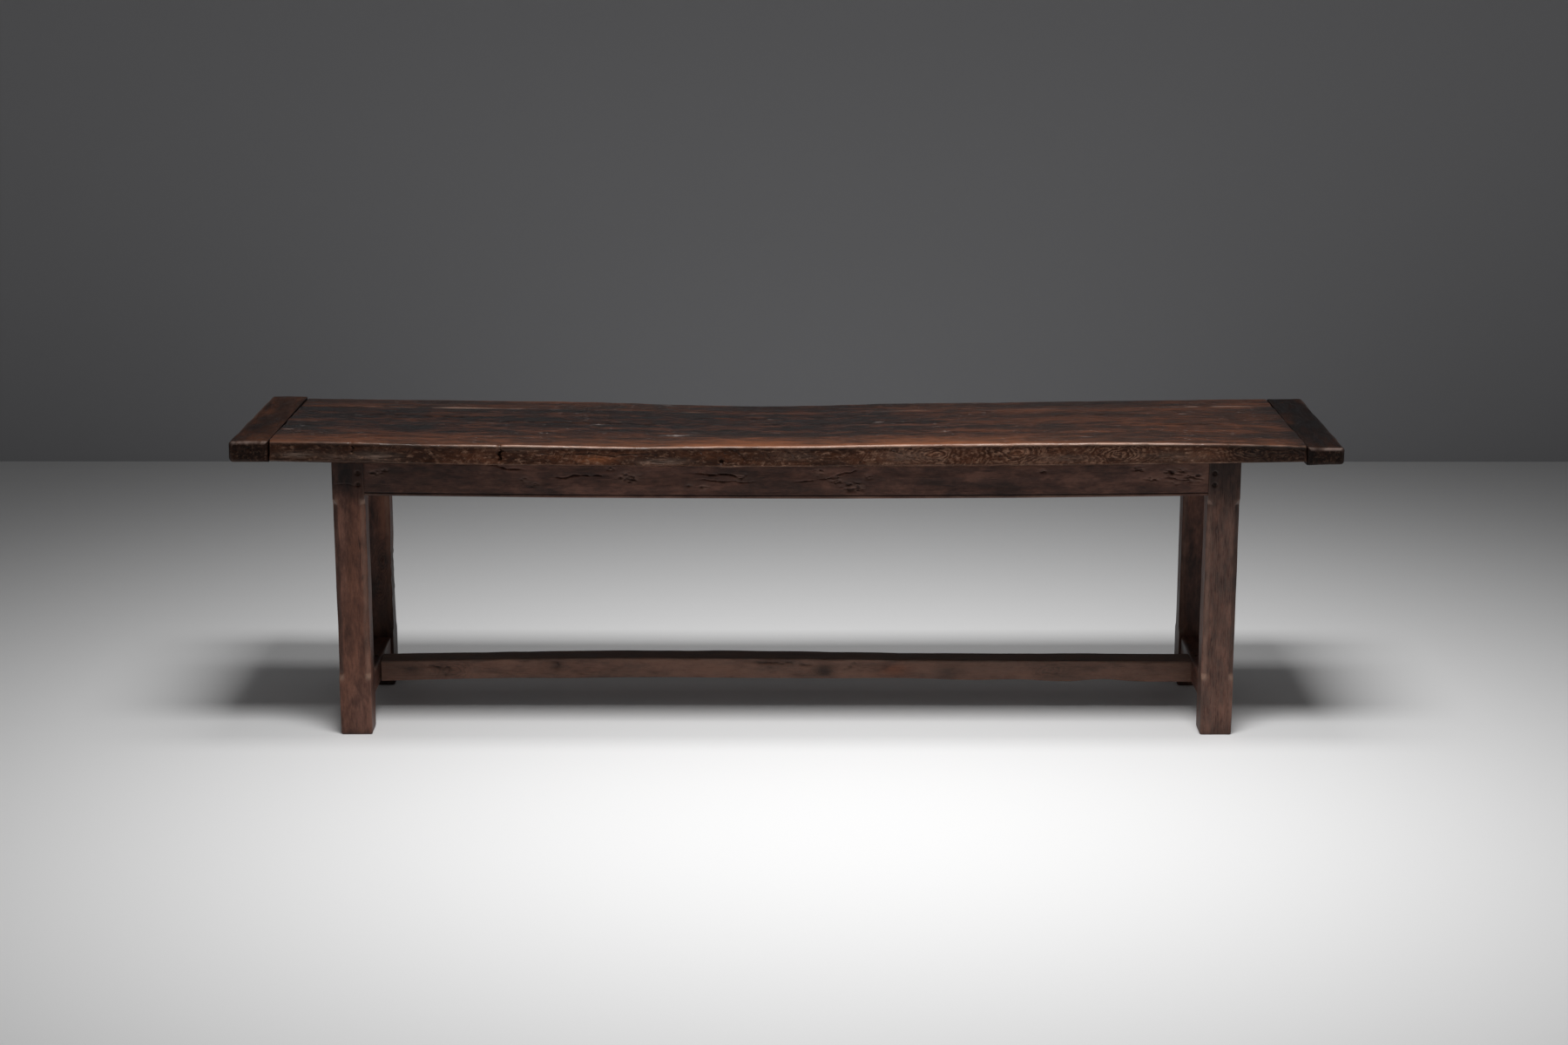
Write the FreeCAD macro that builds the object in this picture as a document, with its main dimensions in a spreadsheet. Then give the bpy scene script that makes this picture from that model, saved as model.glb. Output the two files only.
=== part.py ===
"""A long refectory table: two planks held by end cleats, on a pegged frame with low stretchers.

Millimetres. X runs along the table, Y from the front to the back and Z up. The origin is on the
floor under the middle of the top.
"""

import FreeCAD, Part
import os
import re

import Sketcher

# Driving dimensions
SIZES = {
    # The top, whose planks sag between the cleats
    "top_length": 2704,
    "top_height": 756,
    "top_thickness": 48,
    "top_sag": 14,
    "front_plank_depth": 485,
    "back_plank_depth": 113,
    "arris_rounding": 4,
    # The cleats across the plank ends, each standing proud of the planks on one side
    "cleat_width": 94,
    "cleat_thickness": 50,
    "cleat_proud": 6,
    "cleat_rounding": 5,
    # The tongues and tenons of the planks inside the cleats
    "tongue_length": 18,
    "tongue_thickness": 14,
    "tongue_stop": 28,
    "cleat_tenon_length": 62,
    "cleat_tenon_width": 60,
    "cleat_tenon_inset": 62,
    "cleat_peg_inset": 36,
    # The loose tongues across the seam
    "seam_tongue_length": 90,
    "seam_tongue_width": 44,
    "seam_tongue_thickness": 10,
    "seam_tongue_spacing": 620,
    # The legs, which stand in from the edges of the top
    "end_overhang": 238,
    "side_overhang": 48,
    "leg_side": 78,
    "leg_chamfer": 13,
    "chamfer_run": 13,
    "chamfer_below_apron": 22,
    "chamfer_above_stretcher": 24,
    "foot_chamfer": 4,
    # The aprons and end rails
    "rail_height": 90,
    "rail_thickness": 30,
    "rail_recess": 3,
    "apron_sag": 7,
    "bead_height": 6,
    "bead_groove": 3,
    "bead_depth": 2,
    "rail_tenon_gap": 6,
    "rail_tenon_thickness": 14,
    "rail_tenon_setback": 14,
    "rail_tenon_shoulder": 10,
    "rail_tenon_haunch": 14,
    # The stretchers
    "stretcher_lift": 73,
    "end_stretcher_height": 61,
    "end_stretcher_thickness": 66,
    "end_tenon_length": 50,
    "end_tenon_thickness": 22,
    "end_tenon_shoulder": 11,
    "long_stretcher_height": 56,
    "long_stretcher_depth": 74,
    "long_stretcher_bow": 8,
    "long_tenon_length": 44,
    "long_tenon_width": 28,
    "long_tenon_shoulder": 11,
    # The pegs
    "peg_diameter": 10,
    "peg_gap": 6.5,
    "peg_inset": 14.5,
    "peg_spacing": 29,
    "stretcher_peg_length": 48,
    "top_peg_diameter": 14,
    "top_peg_length": 96,
    "top_peg_x": 690,
    "top_peg_y": 95,
    # Fits
    "joint_clearance": 0.2,
    "peg_clearance": 0.1,
    "hole_relief": 2,
}


def drop(distance):
    """How far the sagging planks lie below their ends, at a distance from the table's middle."""
    return f"(sqrt(sag_radius ^ 2 - ({distance}) ^ 2) - sag_radius + top_sag)"


# Places and sizes that follow from the driving dimensions
DERIVED = {
    "plank_end": "top_length / 2 - cleat_width",
    "sag_radius": "(plank_end ^ 2 + top_sag ^ 2) / (2 * top_sag)",
    "top_edge": "(front_plank_depth + back_plank_depth) / 2",
    "seam": "top_edge - back_plank_depth",
    "tongue_low": "top_height - (top_thickness + tongue_thickness) / 2",
    "frame_length": "top_length - 2 * end_overhang",
    "frame_depth": "2 * (top_edge - side_overhang)",
    "shoulder_x": "frame_length / 2 - leg_side",
    "shoulder_y": "frame_depth / 2 - leg_side",
    "leg_x": "(frame_length - leg_side) / 2",
    "leg_y": "(frame_depth - leg_side) / 2",
    "leg_top": "top_height - top_thickness - " + drop("shoulder_x"),
    "rail_bottom": "leg_top - rail_height",
    "apron_middle": "frame_depth / 2 - rail_recess - rail_thickness / 2",
    "end_rail_middle": "frame_length / 2 - rail_recess - rail_thickness / 2",
    "end_rail_top": "top_height - top_thickness - " + drop("end_rail_middle - rail_thickness / 2"),
    # The two tenons in a leg pass each other by a gap, and so do the pegs through them
    "rail_tenon_length": "leg_side - rail_tenon_setback - rail_tenon_thickness - rail_tenon_gap",
    "peg_length": "leg_side - peg_inset - peg_diameter / 2 - peg_gap",
    "rail_tenon_low": "rail_bottom + rail_tenon_shoulder",
    "rail_tenon_high": "leg_top - rail_tenon_haunch",
    "low_peg": "(rail_tenon_low + rail_tenon_high - peg_spacing) / 2",
    "end_stretcher_top": "stretcher_lift + end_stretcher_height",
    "end_stretcher_face": "leg_x - end_stretcher_thickness / 2",
    "end_tenon_low": "stretcher_lift + end_tenon_shoulder",
    "end_tenon_high": "end_stretcher_top - end_tenon_shoulder",
    "end_peg_z": "stretcher_lift + end_stretcher_height / 2",
    "long_tenon_low": "stretcher_lift + long_tenon_shoulder",
    "long_tenon_high": "stretcher_lift + long_stretcher_height - long_tenon_shoulder",
    "peg_hole": "peg_diameter / 2 + peg_clearance",
    "top_peg_hole": "top_peg_diameter / 2 + peg_clearance",
}

# The origin plane square to each axis, and which way along the axis its normal points
PLANES = {"x": ("YZ_Plane", 1), "y": ("XZ_Plane", -1), "z": ("XY_Plane", 1)}

doc = FreeCAD.newDocument("refectory_table")
sheet = doc.addObject("Spreadsheet::Sheet", "sizes")
for row, (alias, size) in enumerate(SIZES.items(), start=1):
    sheet.set(f"A{row}", alias)
    sheet.set(f"B{row}", str(size))
    sheet.setAlias(f"B{row}", alias)
doc.recompute()


def formula(text):
    """The text with each named size turned into its cell, and each derived name into its formula."""

    def replace(match):
        name = match.group()
        if name in DERIVED:
            return "(" + formula(DERIVED[name]) + ")"
        if name in SIZES:
            return "sizes." + name
        return name

    return re.sub(r"[a-z_]+", replace, str(text))


def value(text):
    """The number that a formula gives now."""
    return float(sheet.evalExpression(formula(text)))


def bind(feature, path, text):
    """Ties a property of a feature to a formula."""
    feature.setExpression(path, formula(text))


# Sketches


def sketch_on(body, name, axis, place):
    """A sketch in the plane square to an axis, at a place along that axis."""
    role, normal = PLANES[axis]
    sketch = body.newObject("Sketcher::SketchObject", name)
    plane = next(f for f in body.Origin.OriginFeatures if f.Role == role)
    sketch.AttachmentSupport = [(plane, "")]
    sketch.MapMode = "FlatFace"
    bind(sketch, "AttachmentOffset.Base.z", f"{normal} * ({place})")
    return sketch


def constrain(sketch, kind, elements, text):
    """Adds a constraint whose size follows a formula."""
    index = sketch.addConstraint(Sketcher.Constraint(kind, *elements, value(text)))
    sketch.renameConstraint(index, f"{kind}_{index}")
    bind(sketch, f"Constraints.{kind}_{index}", text)


def fix_point(sketch, element, point, across, up):
    """Holds a point of an element at two distances from the sketch's origin."""
    constrain(sketch, "DistanceX", (-1, 1, element, point), across)
    constrain(sketch, "DistanceY", (-1, 1, element, point), up)


def polygon(sketch, points):
    """A closed outline of straight lines through points given as formulas."""
    places = [FreeCAD.Vector(value(across), value(up), 0) for across, up in points]
    ends = places[1:] + places[:1]
    lines = [sketch.addGeometry(Part.LineSegment(a, b)) for a, b in zip(places, ends)]
    for line, following in zip(lines, lines[1:] + lines[:1]):
        sketch.addConstraint(Sketcher.Constraint("Coincident", line, 2, following, 1))
    for line, (across, up) in zip(lines, points):
        fix_point(sketch, line, 1, across, up)


def rectangle(sketch, left, right, low, high):
    """An upright rectangle between four places."""
    polygon(sketch, [(left, low), (right, low), (right, high), (left, high)])


def circle(sketch, across, up, radius):
    """A circle about a point."""
    centre = FreeCAD.Vector(value(across), value(up), 0)
    up_axis = FreeCAD.Vector(0, 0, 1)
    element = sketch.addGeometry(Part.Circle(centre, up_axis, value(radius)))
    fix_point(sketch, element, 3, across, up)
    constrain(sketch, "Radius", (element,), radius)


def curved_edge(sketch, half, up, sag, left_line, right_line, point):
    """A long shallow arc between the same points of two upright lines, lower in its middle by sag."""
    ends = value(half)
    height = value(up)
    lowest = FreeCAD.Vector(0, height - value(sag), 0)
    left = FreeCAD.Vector(-ends, height, 0)
    right = FreeCAD.Vector(ends, height, 0)
    # An arc runs anticlockwise, so one that bows upwards starts at its right end
    bows_down = value(sag) > 0
    start, finish = (left, right) if bows_down else (right, left)
    arc = sketch.addGeometry(Part.Arc(start, lowest, finish))
    left_point = 1 if bows_down else 2
    sketch.addConstraint(Sketcher.Constraint("Coincident", arc, left_point, left_line, point))
    sketch.addConstraint(Sketcher.Constraint("Coincident", arc, 3 - left_point, right_line, point))
    constrain(sketch, "Radius", (arc,), f"(({half}) ^ 2 + ({sag}) ^ 2) / (2 * abs({sag}))")


def curved_board(sketch, half, low, low_sag, high, high_sag):
    """The side of a board with upright ends and long shallow arcs for its lower and upper edges."""
    ends = value(half)
    upright = [
        Part.LineSegment(FreeCAD.Vector(x, value(low), 0), FreeCAD.Vector(x, value(high), 0))
        for x in (-ends, ends)
    ]
    left_line, right_line = [sketch.addGeometry(line) for line in upright]
    curved_edge(sketch, half, low, low_sag, left_line, right_line, 1)
    curved_edge(sketch, half, high, high_sag, left_line, right_line, 2)
    for line, side in ((left_line, -1), (right_line, 1)):
        fix_point(sketch, line, 1, f"{side} * ({half})", low)
        fix_point(sketch, line, 2, f"{side} * ({half})", high)


# Features

groups = []
timbers = []
cuts = []


def new_timber(name):
    """An empty body for one piece of wood."""
    body = doc.addObject("PartDesign::Body", name)
    body.Label = name
    timbers.append(body)
    return body


def pad(body, sketch, axis, length, direction):
    """Raises a sketch along its axis, towards the axis's plus or minus end."""
    feature = body.newObject("PartDesign::Pad", sketch.Name + "_pad")
    feature.Profile = sketch
    bind(feature, "Length", length)
    feature.Reversed = direction != PLANES[axis][1]
    doc.recompute()
    return feature


def pocket(body, sketch, axis, depth, direction):
    """Cuts a sketch along its axis, towards the axis's plus or minus end."""
    feature = body.newObject("PartDesign::Pocket", sketch.Name + "_cut")
    feature.Profile = sketch
    bind(feature, "Length", depth)
    feature.Reversed = direction == PLANES[axis][1]
    doc.recompute()
    cuts.append(feature)
    return feature


def round_holes(body, name, axis, place, length, centres, radius):
    """Round holes of a given length along an axis, from a place on it."""
    sketch = sketch_on(body, name, axis, place)
    for across, up in centres:
        circle(sketch, across, up, radius)
    return pocket(body, sketch, axis, length, -1 if axis == "z" else 1)


def dress_edges(body, kind, name, base, size, wanted):
    """Rounds or chamfers the edges of a feature that a test picks out by their two ends."""
    feature = body.newObject(f"PartDesign::{kind}", name)
    picked = [
        f"Edge{number}"
        for number, edge in enumerate(base.Shape.Edges, start=1)
        if all(wanted(vertex.Point) for vertex in edge.Vertexes)
    ]
    feature.Base = (base, picked)
    bind(feature, "Radius" if kind == "Fillet" else "Size", size)
    doc.recompute()
    return feature


def is_at(number, text):
    """True where a coordinate is at the place that a formula gives."""
    return abs(number - value(text)) < 0.001


# The top

CLEAT_TENONS = {
    "top_plank_front": ("-top_edge + cleat_tenon_inset", "seam - cleat_tenon_inset"),
    "top_plank_back": ("seam + back_plank_depth / 2",),
}
SEAM_TONGUES = ("-1.5 * seam_tongue_spacing", "-seam_tongue_spacing / 2", "seam_tongue_spacing / 2",
                "1.5 * seam_tongue_spacing")


def plank_middle(distance):
    """The height of a plank's middle layer at a distance from the table's middle."""
    return f"top_height - top_thickness / 2 - {drop(distance)}"


def make_plank(name, front, back, free_edge, seam_side, tongue_ends, peg_centres):
    """A sagging plank with tongued and tenoned ends, and slots for the loose tongues in its seam."""
    body = new_timber(name)
    side = sketch_on(body, name + "_side", "y", back)
    curved_board(side, "plank_end", "top_height - top_thickness", "top_sag", "top_height", "top_sag")
    board = pad(body, side, "y", f"({back}) - ({front})", -1)

    def on_free_arris(point):
        return is_at(point.y, free_edge) and is_at(point.z, "top_height")

    dress_edges(body, "Fillet", name + "_arris", board, "arris_rounding", on_free_arris)

    tongues = sketch_on(body, name + "_tongues", "z", "tongue_low")
    tenons = sketch_on(body, name + "_tenons", "z", "tongue_low")
    pegs = []
    for end in (-1, 1):
        start = f"{end} * (plank_end - tongue_length)"
        rectangle(tongues, start, f"{end} * (plank_end + tongue_length)", *tongue_ends)
        for centre in CLEAT_TENONS[name]:
            tip = f"{end} * (plank_end + cleat_tenon_length)"
            low = f"{centre} - cleat_tenon_width / 2"
            high = f"{centre} + cleat_tenon_width / 2"
            rectangle(tenons, start, tip, low, high)
            pegs.append((f"{end} * (plank_end + cleat_peg_inset)", centre))
    pad(body, tongues, "z", "tongue_thickness", 1)
    pad(body, tenons, "z", "tongue_thickness", 1)
    depth = "top_thickness + top_sag"
    round_holes(body, name + "_cleat_holes", "z", "top_height", depth, pegs, "peg_hole")
    round_holes(body, name + "_top_holes", "z", "top_height", depth, peg_centres, "top_peg_hole")

    slots = sketch_on(body, name + "_seam_slots", "y", "seam")
    for place in SEAM_TONGUES:
        half_length = "(seam_tongue_length / 2 + joint_clearance)"
        half_thickness = "(seam_tongue_thickness / 2 + joint_clearance)"
        rectangle(slots, f"{place} - {half_length}", f"{place} + {half_length}",
                  f"{plank_middle(place)} - {half_thickness}", f"{plank_middle(place)} + {half_thickness}")
    pocket(body, slots, "y", "seam_tongue_width / 2 + joint_clearance", seam_side)


def make_cleat(name, side, front, back):
    """A cleat with a groove and mortises for the plank ends, and holes for its pegs."""
    body = new_timber(name)
    plan = sketch_on(body, name + "_plan", "z", "top_height - cleat_thickness")
    rectangle(plan, f"{side} * plank_end", f"{side} * top_length / 2", front, back)
    block = pad(body, plan, "z", "cleat_thickness", 1)

    def on_outer_face(point):
        return is_at(point.x, f"{side} * top_length / 2")

    dress_edges(body, "Fillet", name + "_rounding", block, "cleat_rounding", on_outer_face)

    low = "tongue_low - joint_clearance"
    high = "tongue_low + tongue_thickness + joint_clearance"
    groove = sketch_on(body, name + "_groove", "x", f"{side} * plank_end")
    rectangle(groove, "-top_edge + tongue_stop - joint_clearance", "top_edge - tongue_stop + joint_clearance",
              low, high)
    pocket(body, groove, "x", "tongue_length + hole_relief", side)
    mortises = sketch_on(body, name + "_mortises", "x", f"{side} * plank_end")
    centres = [centre for plank in CLEAT_TENONS.values() for centre in plank]
    for centre in centres:
        half_width = "(cleat_tenon_width / 2 + joint_clearance)"
        rectangle(mortises, f"{centre} - {half_width}", f"{centre} + {half_width}", low, high)
    pocket(body, mortises, "x", "cleat_tenon_length + hole_relief", side)
    pegs = [(f"{side} * (plank_end + cleat_peg_inset)", centre) for centre in centres]
    round_holes(body, name + "_holes", "z", "top_height", "cleat_thickness", pegs, "peg_hole")


make_plank(
    "top_plank_front", "-top_edge", "seam", "-top_edge", -1,
    ("-top_edge + tongue_stop", "seam"),
    [(f"{end} * top_peg_x", "-apron_middle") for end in (-1, 1)]
    + [(f"{end} * end_rail_middle", f"{side} * top_peg_y") for end in (-1, 1) for side in (-1, 1)],
)
make_plank(
    "top_plank_back", "seam", "top_edge", "top_edge", 1,
    ("seam", "top_edge - tongue_stop"),
    [(f"{end} * top_peg_x", "apron_middle") for end in (-1, 1)],
)
make_cleat("cleat_left", -1, "-top_edge", "top_edge + cleat_proud")
make_cleat("cleat_right", 1, "-top_edge - cleat_proud", "top_edge")


# The frame


def chamfer_cutter(body, name, turn):
    """Cuts stopped chamfers on two opposite arrises of a leg, in an upright plane through both."""
    sketch = sketch_on(body, name, "y", 0)
    sketch.AttachmentOffset = FreeCAD.Placement(
        FreeCAD.Vector(), FreeCAD.Rotation(FreeCAD.Vector(0, 1, 0), turn)
    )
    near = "(leg_side - leg_chamfer) / sqrt(2)"
    far = "(leg_side + leg_chamfer) / sqrt(2)"
    low = "end_stretcher_top + chamfer_above_stretcher"
    high = "rail_bottom - chamfer_below_apron"
    for side in (-1, 1):
        polygon(sketch, [
            (f"{side} * {near}", f"{low} + chamfer_run"),
            (f"{side} * {near}", f"{high} - chamfer_run"),
            (f"{side} * {far}", f"{high} + chamfer_run"),
            (f"{side} * {far}", f"{low} - chamfer_run"),
        ])
    cut = pocket(body, sketch, "y", "2 * leg_chamfer", 1)
    cut.SideType = "Symmetric"


def make_leg(name, side, face):
    """A leg at the left or right (side) and the front or back (face), with its mortises and peg holes."""
    body = new_timber(name)
    bind(body, "Placement.Base.x", f"{side} * leg_x")
    bind(body, "Placement.Base.y", f"{face} * leg_y")
    half = "leg_side / 2"
    plan = sketch_on(body, name + "_plan", "z", 0)
    rectangle(plan, f"-{half}", half, f"-{half}", half)
    post = pad(body, plan, "z", "leg_top", 1)

    def on_floor(point):
        return is_at(point.z, 0)

    dress_edges(body, "Chamfer", name + "_foot", post, "foot_chamfer", on_floor)
    chamfer_cutter(body, name + "_chamfers", 45)
    chamfer_cutter(body, name + "_other_chamfers", -45)

    # Mortises, each cut from the inner face towards the outer one
    outer = f"({half} - rail_tenon_setback + joint_clearance)"
    inner = f"({half} - rail_tenon_setback - rail_tenon_thickness - joint_clearance)"
    rail_span = ("rail_tenon_low - joint_clearance", "rail_tenon_high + joint_clearance")
    rail_depth = "rail_tenon_length + hole_relief"
    apron = sketch_on(body, name + "_apron_mortise", "x", f"{-side} * {half}")
    rectangle(apron, f"{face} * {inner}", f"{face} * {outer}", *rail_span)
    pocket(body, apron, "x", rail_depth, side)
    end_rail = sketch_on(body, name + "_rail_mortise", "y", f"{-face} * {half}")
    rectangle(end_rail, f"{side} * {inner}", f"{side} * {outer}", *rail_span)
    pocket(body, end_rail, "y", rail_depth, face)
    stretcher = sketch_on(body, name + "_stretcher_mortise", "y", f"{-face} * {half}")
    cheek = "(end_tenon_thickness / 2 + joint_clearance)"
    rectangle(stretcher, f"-{cheek}", cheek, "end_tenon_low - joint_clearance",
              "end_tenon_high + joint_clearance")
    pocket(body, stretcher, "y", "end_tenon_length + hole_relief", face)

    # Peg holes, each bored from an outer face inwards
    inset = f"({half} - peg_inset)"
    depth = "peg_length + hole_relief"
    face_holes = sketch_on(body, name + "_apron_peg_holes", "y", f"{face} * {half}")
    side_holes = sketch_on(body, name + "_rail_peg_holes", "x", f"{side} * {half}")
    for height in ("low_peg", "low_peg + peg_spacing"):
        circle(face_holes, f"{-side} * {inset}", height, "peg_hole")
        circle(side_holes, f"{-face} * {inset}", height, "peg_hole")
    circle(side_holes, f"{-face} * {inset}", "end_peg_z", "peg_hole")
    pocket(body, face_holes, "y", depth, -face)
    pocket(body, side_holes, "x", depth, -side)


def rail_tenons(sketch, shoulder):
    """The sides of a rail's two tenons, each reaching back into the rail as far as it stands out."""
    for end in (-1, 1):
        root = f"{end} * ({shoulder} - rail_tenon_length)"
        tip = f"{end} * ({shoulder} + rail_tenon_length)"
        rectangle(sketch, root, tip, "rail_tenon_low", "rail_tenon_high")


def rail_pegs(shoulder):
    """The peg centres in a rail's two tenons, seen from the rail's side."""
    return [
        (f"{end} * ({shoulder} + peg_inset)", height)
        for end in (-1, 1)
        for height in ("low_peg", "low_peg + peg_spacing")
    ]


def make_apron(name, face):
    """A long rail whose upper edge follows the sagging planks, with a bead along its lower edge."""
    body = new_timber(name)
    outer = f"{face} * (frame_depth / 2 - rail_recess)"
    side = sketch_on(body, name + "_side", "y", outer)
    seat_sag = f"{drop(0)} - {drop('shoulder_x')}"
    curved_board(side, "shoulder_x", "rail_bottom", "apron_sag", "leg_top", seat_sag)
    pad(body, side, "y", "rail_thickness", -face)
    cheek = f"{face} * (frame_depth / 2 - rail_tenon_setback)"
    tenons = sketch_on(body, name + "_tenons", "y", cheek)
    rail_tenons(tenons, "shoulder_x")
    pad(body, tenons, "y", "rail_tenon_thickness", -face)
    bead = sketch_on(body, name + "_bead", "y", outer)
    curved_board(bead, "shoulder_x", "rail_bottom + bead_height", "apron_sag",
                 "rail_bottom + bead_height + bead_groove", "apron_sag")
    pocket(body, bead, "y", "bead_depth", -face)
    round_holes(body, name + "_peg_holes", "y", "-frame_depth / 2", "frame_depth",
                  rail_pegs("shoulder_x"), "peg_hole")
    top_pegs = [(f"{end} * top_peg_x", f"{face} * apron_middle") for end in (-1, 1)]
    depth = f"{drop('top_peg_x')} + top_peg_length + hole_relief"
    round_holes(body, name + "_top_peg_holes", "z", "top_height", depth, top_pegs, "top_peg_hole")


def make_end_rail(name, side):
    """A short rail under one end of the top."""
    body = new_timber(name)
    board = sketch_on(body, name + "_side", "x", f"{side} * (frame_length / 2 - rail_recess)")
    rectangle(board, "-shoulder_y", "shoulder_y", "rail_bottom", "end_rail_top")
    pad(body, board, "x", "rail_thickness", -side)
    tenons = sketch_on(body, name + "_tenons", "x", f"{side} * (frame_length / 2 - rail_tenon_setback)")
    rail_tenons(tenons, "shoulder_y")
    pad(body, tenons, "x", "rail_tenon_thickness", -side)
    round_holes(body, name + "_peg_holes", "x", "-frame_length / 2", "frame_length",
                  rail_pegs("shoulder_y"), "peg_hole")
    top_pegs = [(f"{side} * end_rail_middle", f"{end} * top_peg_y") for end in (-1, 1)]
    depth = f"{drop('end_rail_middle')} + top_peg_length + hole_relief"
    round_holes(body, name + "_top_peg_holes", "z", "top_height", depth, top_pegs, "top_peg_hole")


def make_end_stretcher(name, side):
    """A low rail from a front leg to a back leg, with a mortise for the long stretcher."""
    body = new_timber(name)
    outer = f"{side} * (leg_x + end_stretcher_thickness / 2)"
    board = sketch_on(body, name + "_side", "x", outer)
    rectangle(board, "-shoulder_y", "shoulder_y", "stretcher_lift", "end_stretcher_top")
    pad(body, board, "x", "end_stretcher_thickness", -side)
    tenons = sketch_on(body, name + "_tenons", "x", f"{side} * (leg_x + end_tenon_thickness / 2)")
    for end in (-1, 1):
        root = f"{end} * (shoulder_y - end_tenon_length)"
        tip = f"{end} * (shoulder_y + end_tenon_length)"
        rectangle(tenons, root, tip, "end_tenon_low", "end_tenon_high")
    pad(body, tenons, "x", "end_tenon_thickness", -side)
    mortise = sketch_on(body, name + "_mortise", "x", f"{side} * end_stretcher_face")
    half_width = "(long_tenon_width / 2 + joint_clearance)"
    rectangle(mortise, f"-{half_width}", half_width, "long_tenon_low - joint_clearance",
              "long_tenon_high + joint_clearance")
    pocket(body, mortise, "x", "long_tenon_length + hole_relief", side)
    pegs = [(f"{end} * (shoulder_y + peg_inset)", "end_peg_z") for end in (-1, 1)]
    round_holes(body, name + "_peg_holes", "x", "-frame_length / 2", "frame_length", pegs, "peg_hole")
    round_holes(body, name + "_long_peg_hole", "z", "end_stretcher_top", "stretcher_peg_length + hole_relief",
                  [(f"{side} * (end_stretcher_face + peg_inset)", 0)], "peg_hole")


def make_long_stretcher(name):
    """The bowed rail between the two end stretchers."""
    body = new_timber(name)
    side = sketch_on(body, name + "_side", "y", "long_stretcher_depth / 2")
    curved_board(side, "end_stretcher_face", "stretcher_lift", "-long_stretcher_bow",
                 "stretcher_lift + long_stretcher_height", "-long_stretcher_bow")
    pad(body, side, "y", "long_stretcher_depth", -1)
    tenons = sketch_on(body, name + "_tenons", "y", "long_tenon_width / 2")
    pegs = []
    for end in (-1, 1):
        root = f"{end} * (end_stretcher_face - long_tenon_length)"
        tip = f"{end} * (end_stretcher_face + long_tenon_length)"
        rectangle(tenons, root, tip, "long_tenon_low", "long_tenon_high")
        pegs.append((f"{end} * (end_stretcher_face + peg_inset)", 0))
    pad(body, tenons, "y", "long_tenon_width", -1)
    round_holes(body, name + "_peg_holes", "z", "end_stretcher_top", "end_stretcher_height", pegs, "peg_hole")


SIDES = {"left": -1, "right": 1}
FACES = {"front": -1, "back": 1}
for face_name, face in FACES.items():
    for side_name, side in SIDES.items():
        make_leg(f"leg_{face_name}_{side_name}", side, face)
    make_apron(f"apron_{face_name}", face)
for side_name, side in SIDES.items():
    make_end_rail(f"end_rail_{side_name}", side)
    make_end_stretcher(f"end_stretcher_{side_name}", side)
make_long_stretcher("long_stretcher")


# Pegs and loose tongues

TURNS = {
    "x": FreeCAD.Rotation(FreeCAD.Vector(0, 1, 0), 90),
    "y": FreeCAD.Rotation(FreeCAD.Vector(1, 0, 0), -90),
    "z": FreeCAD.Rotation(),
}


def place_at(solid, place):
    """Ties a solid's place to three formulas."""
    for coordinate, text in zip("xyz", place):
        bind(solid, f"Placement.Base.{coordinate}", text)


def new_group(name, solids):
    """One node of separate equal solids."""
    group = doc.addObject("Part::Compound", name)
    group.Label = name
    group.Links = solids
    groups.append(group)


def make_pegs(name, axis, diameter, length, starts):
    """Equal pegs along an axis, each from its lower end on that axis."""
    solids = []
    for number, start in enumerate(starts, start=1):
        peg = doc.addObject("Part::Cylinder", f"{name}_{number}")
        bind(peg, "Radius", f"{diameter} / 2")
        bind(peg, "Height", length)
        peg.Placement = FreeCAD.Placement(FreeCAD.Vector(), TURNS[axis])
        place_at(peg, start)
        solids.append(peg)
    new_group(name, solids)


def inward_start(sign, outer, length):
    """The lower end of a peg that is driven from an outer face towards the middle."""
    return f"-({outer})" if sign < 0 else f"{outer} - {length}"


corners = [(side, face) for side in SIDES.values() for face in FACES.values()]
peg_heights = ("low_peg", "low_peg + peg_spacing")
make_pegs("apron_pegs", "y", "peg_diameter", "peg_length", [
    (f"{side} * (shoulder_x + peg_inset)", inward_start(face, "frame_depth / 2", "peg_length"), height)
    for side, face in corners for height in peg_heights
])
make_pegs("end_rail_pegs", "x", "peg_diameter", "peg_length", [
    (inward_start(side, "frame_length / 2", "peg_length"), f"{face} * (shoulder_y + peg_inset)", height)
    for side, face in corners for height in peg_heights
])
make_pegs("end_stretcher_pegs", "x", "peg_diameter", "peg_length", [
    (inward_start(side, "frame_length / 2", "peg_length"), f"{face} * (shoulder_y + peg_inset)", "end_peg_z")
    for side, face in corners
])
make_pegs("long_stretcher_pegs", "z", "peg_diameter", "stretcher_peg_length", [
    (f"{side} * (end_stretcher_face + peg_inset)", 0, "end_stretcher_top - stretcher_peg_length")
    for side in SIDES.values()
])
make_pegs("cleat_pegs", "z", "peg_diameter", "cleat_thickness", [
    (f"{side} * (plank_end + cleat_peg_inset)", centre, "top_height - cleat_thickness")
    for side in SIDES.values() for plank in CLEAT_TENONS.values() for centre in plank
])
make_pegs("top_pegs", "z", "top_peg_diameter", "top_peg_length", [
    (f"{side} * top_peg_x", f"{face} * apron_middle", f"top_height - {drop('top_peg_x')} - top_peg_length")
    for side, face in corners
] + [
    (f"{side} * end_rail_middle", f"{face} * top_peg_y",
     f"top_height - {drop('end_rail_middle')} - top_peg_length")
    for side, face in corners
])


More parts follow.
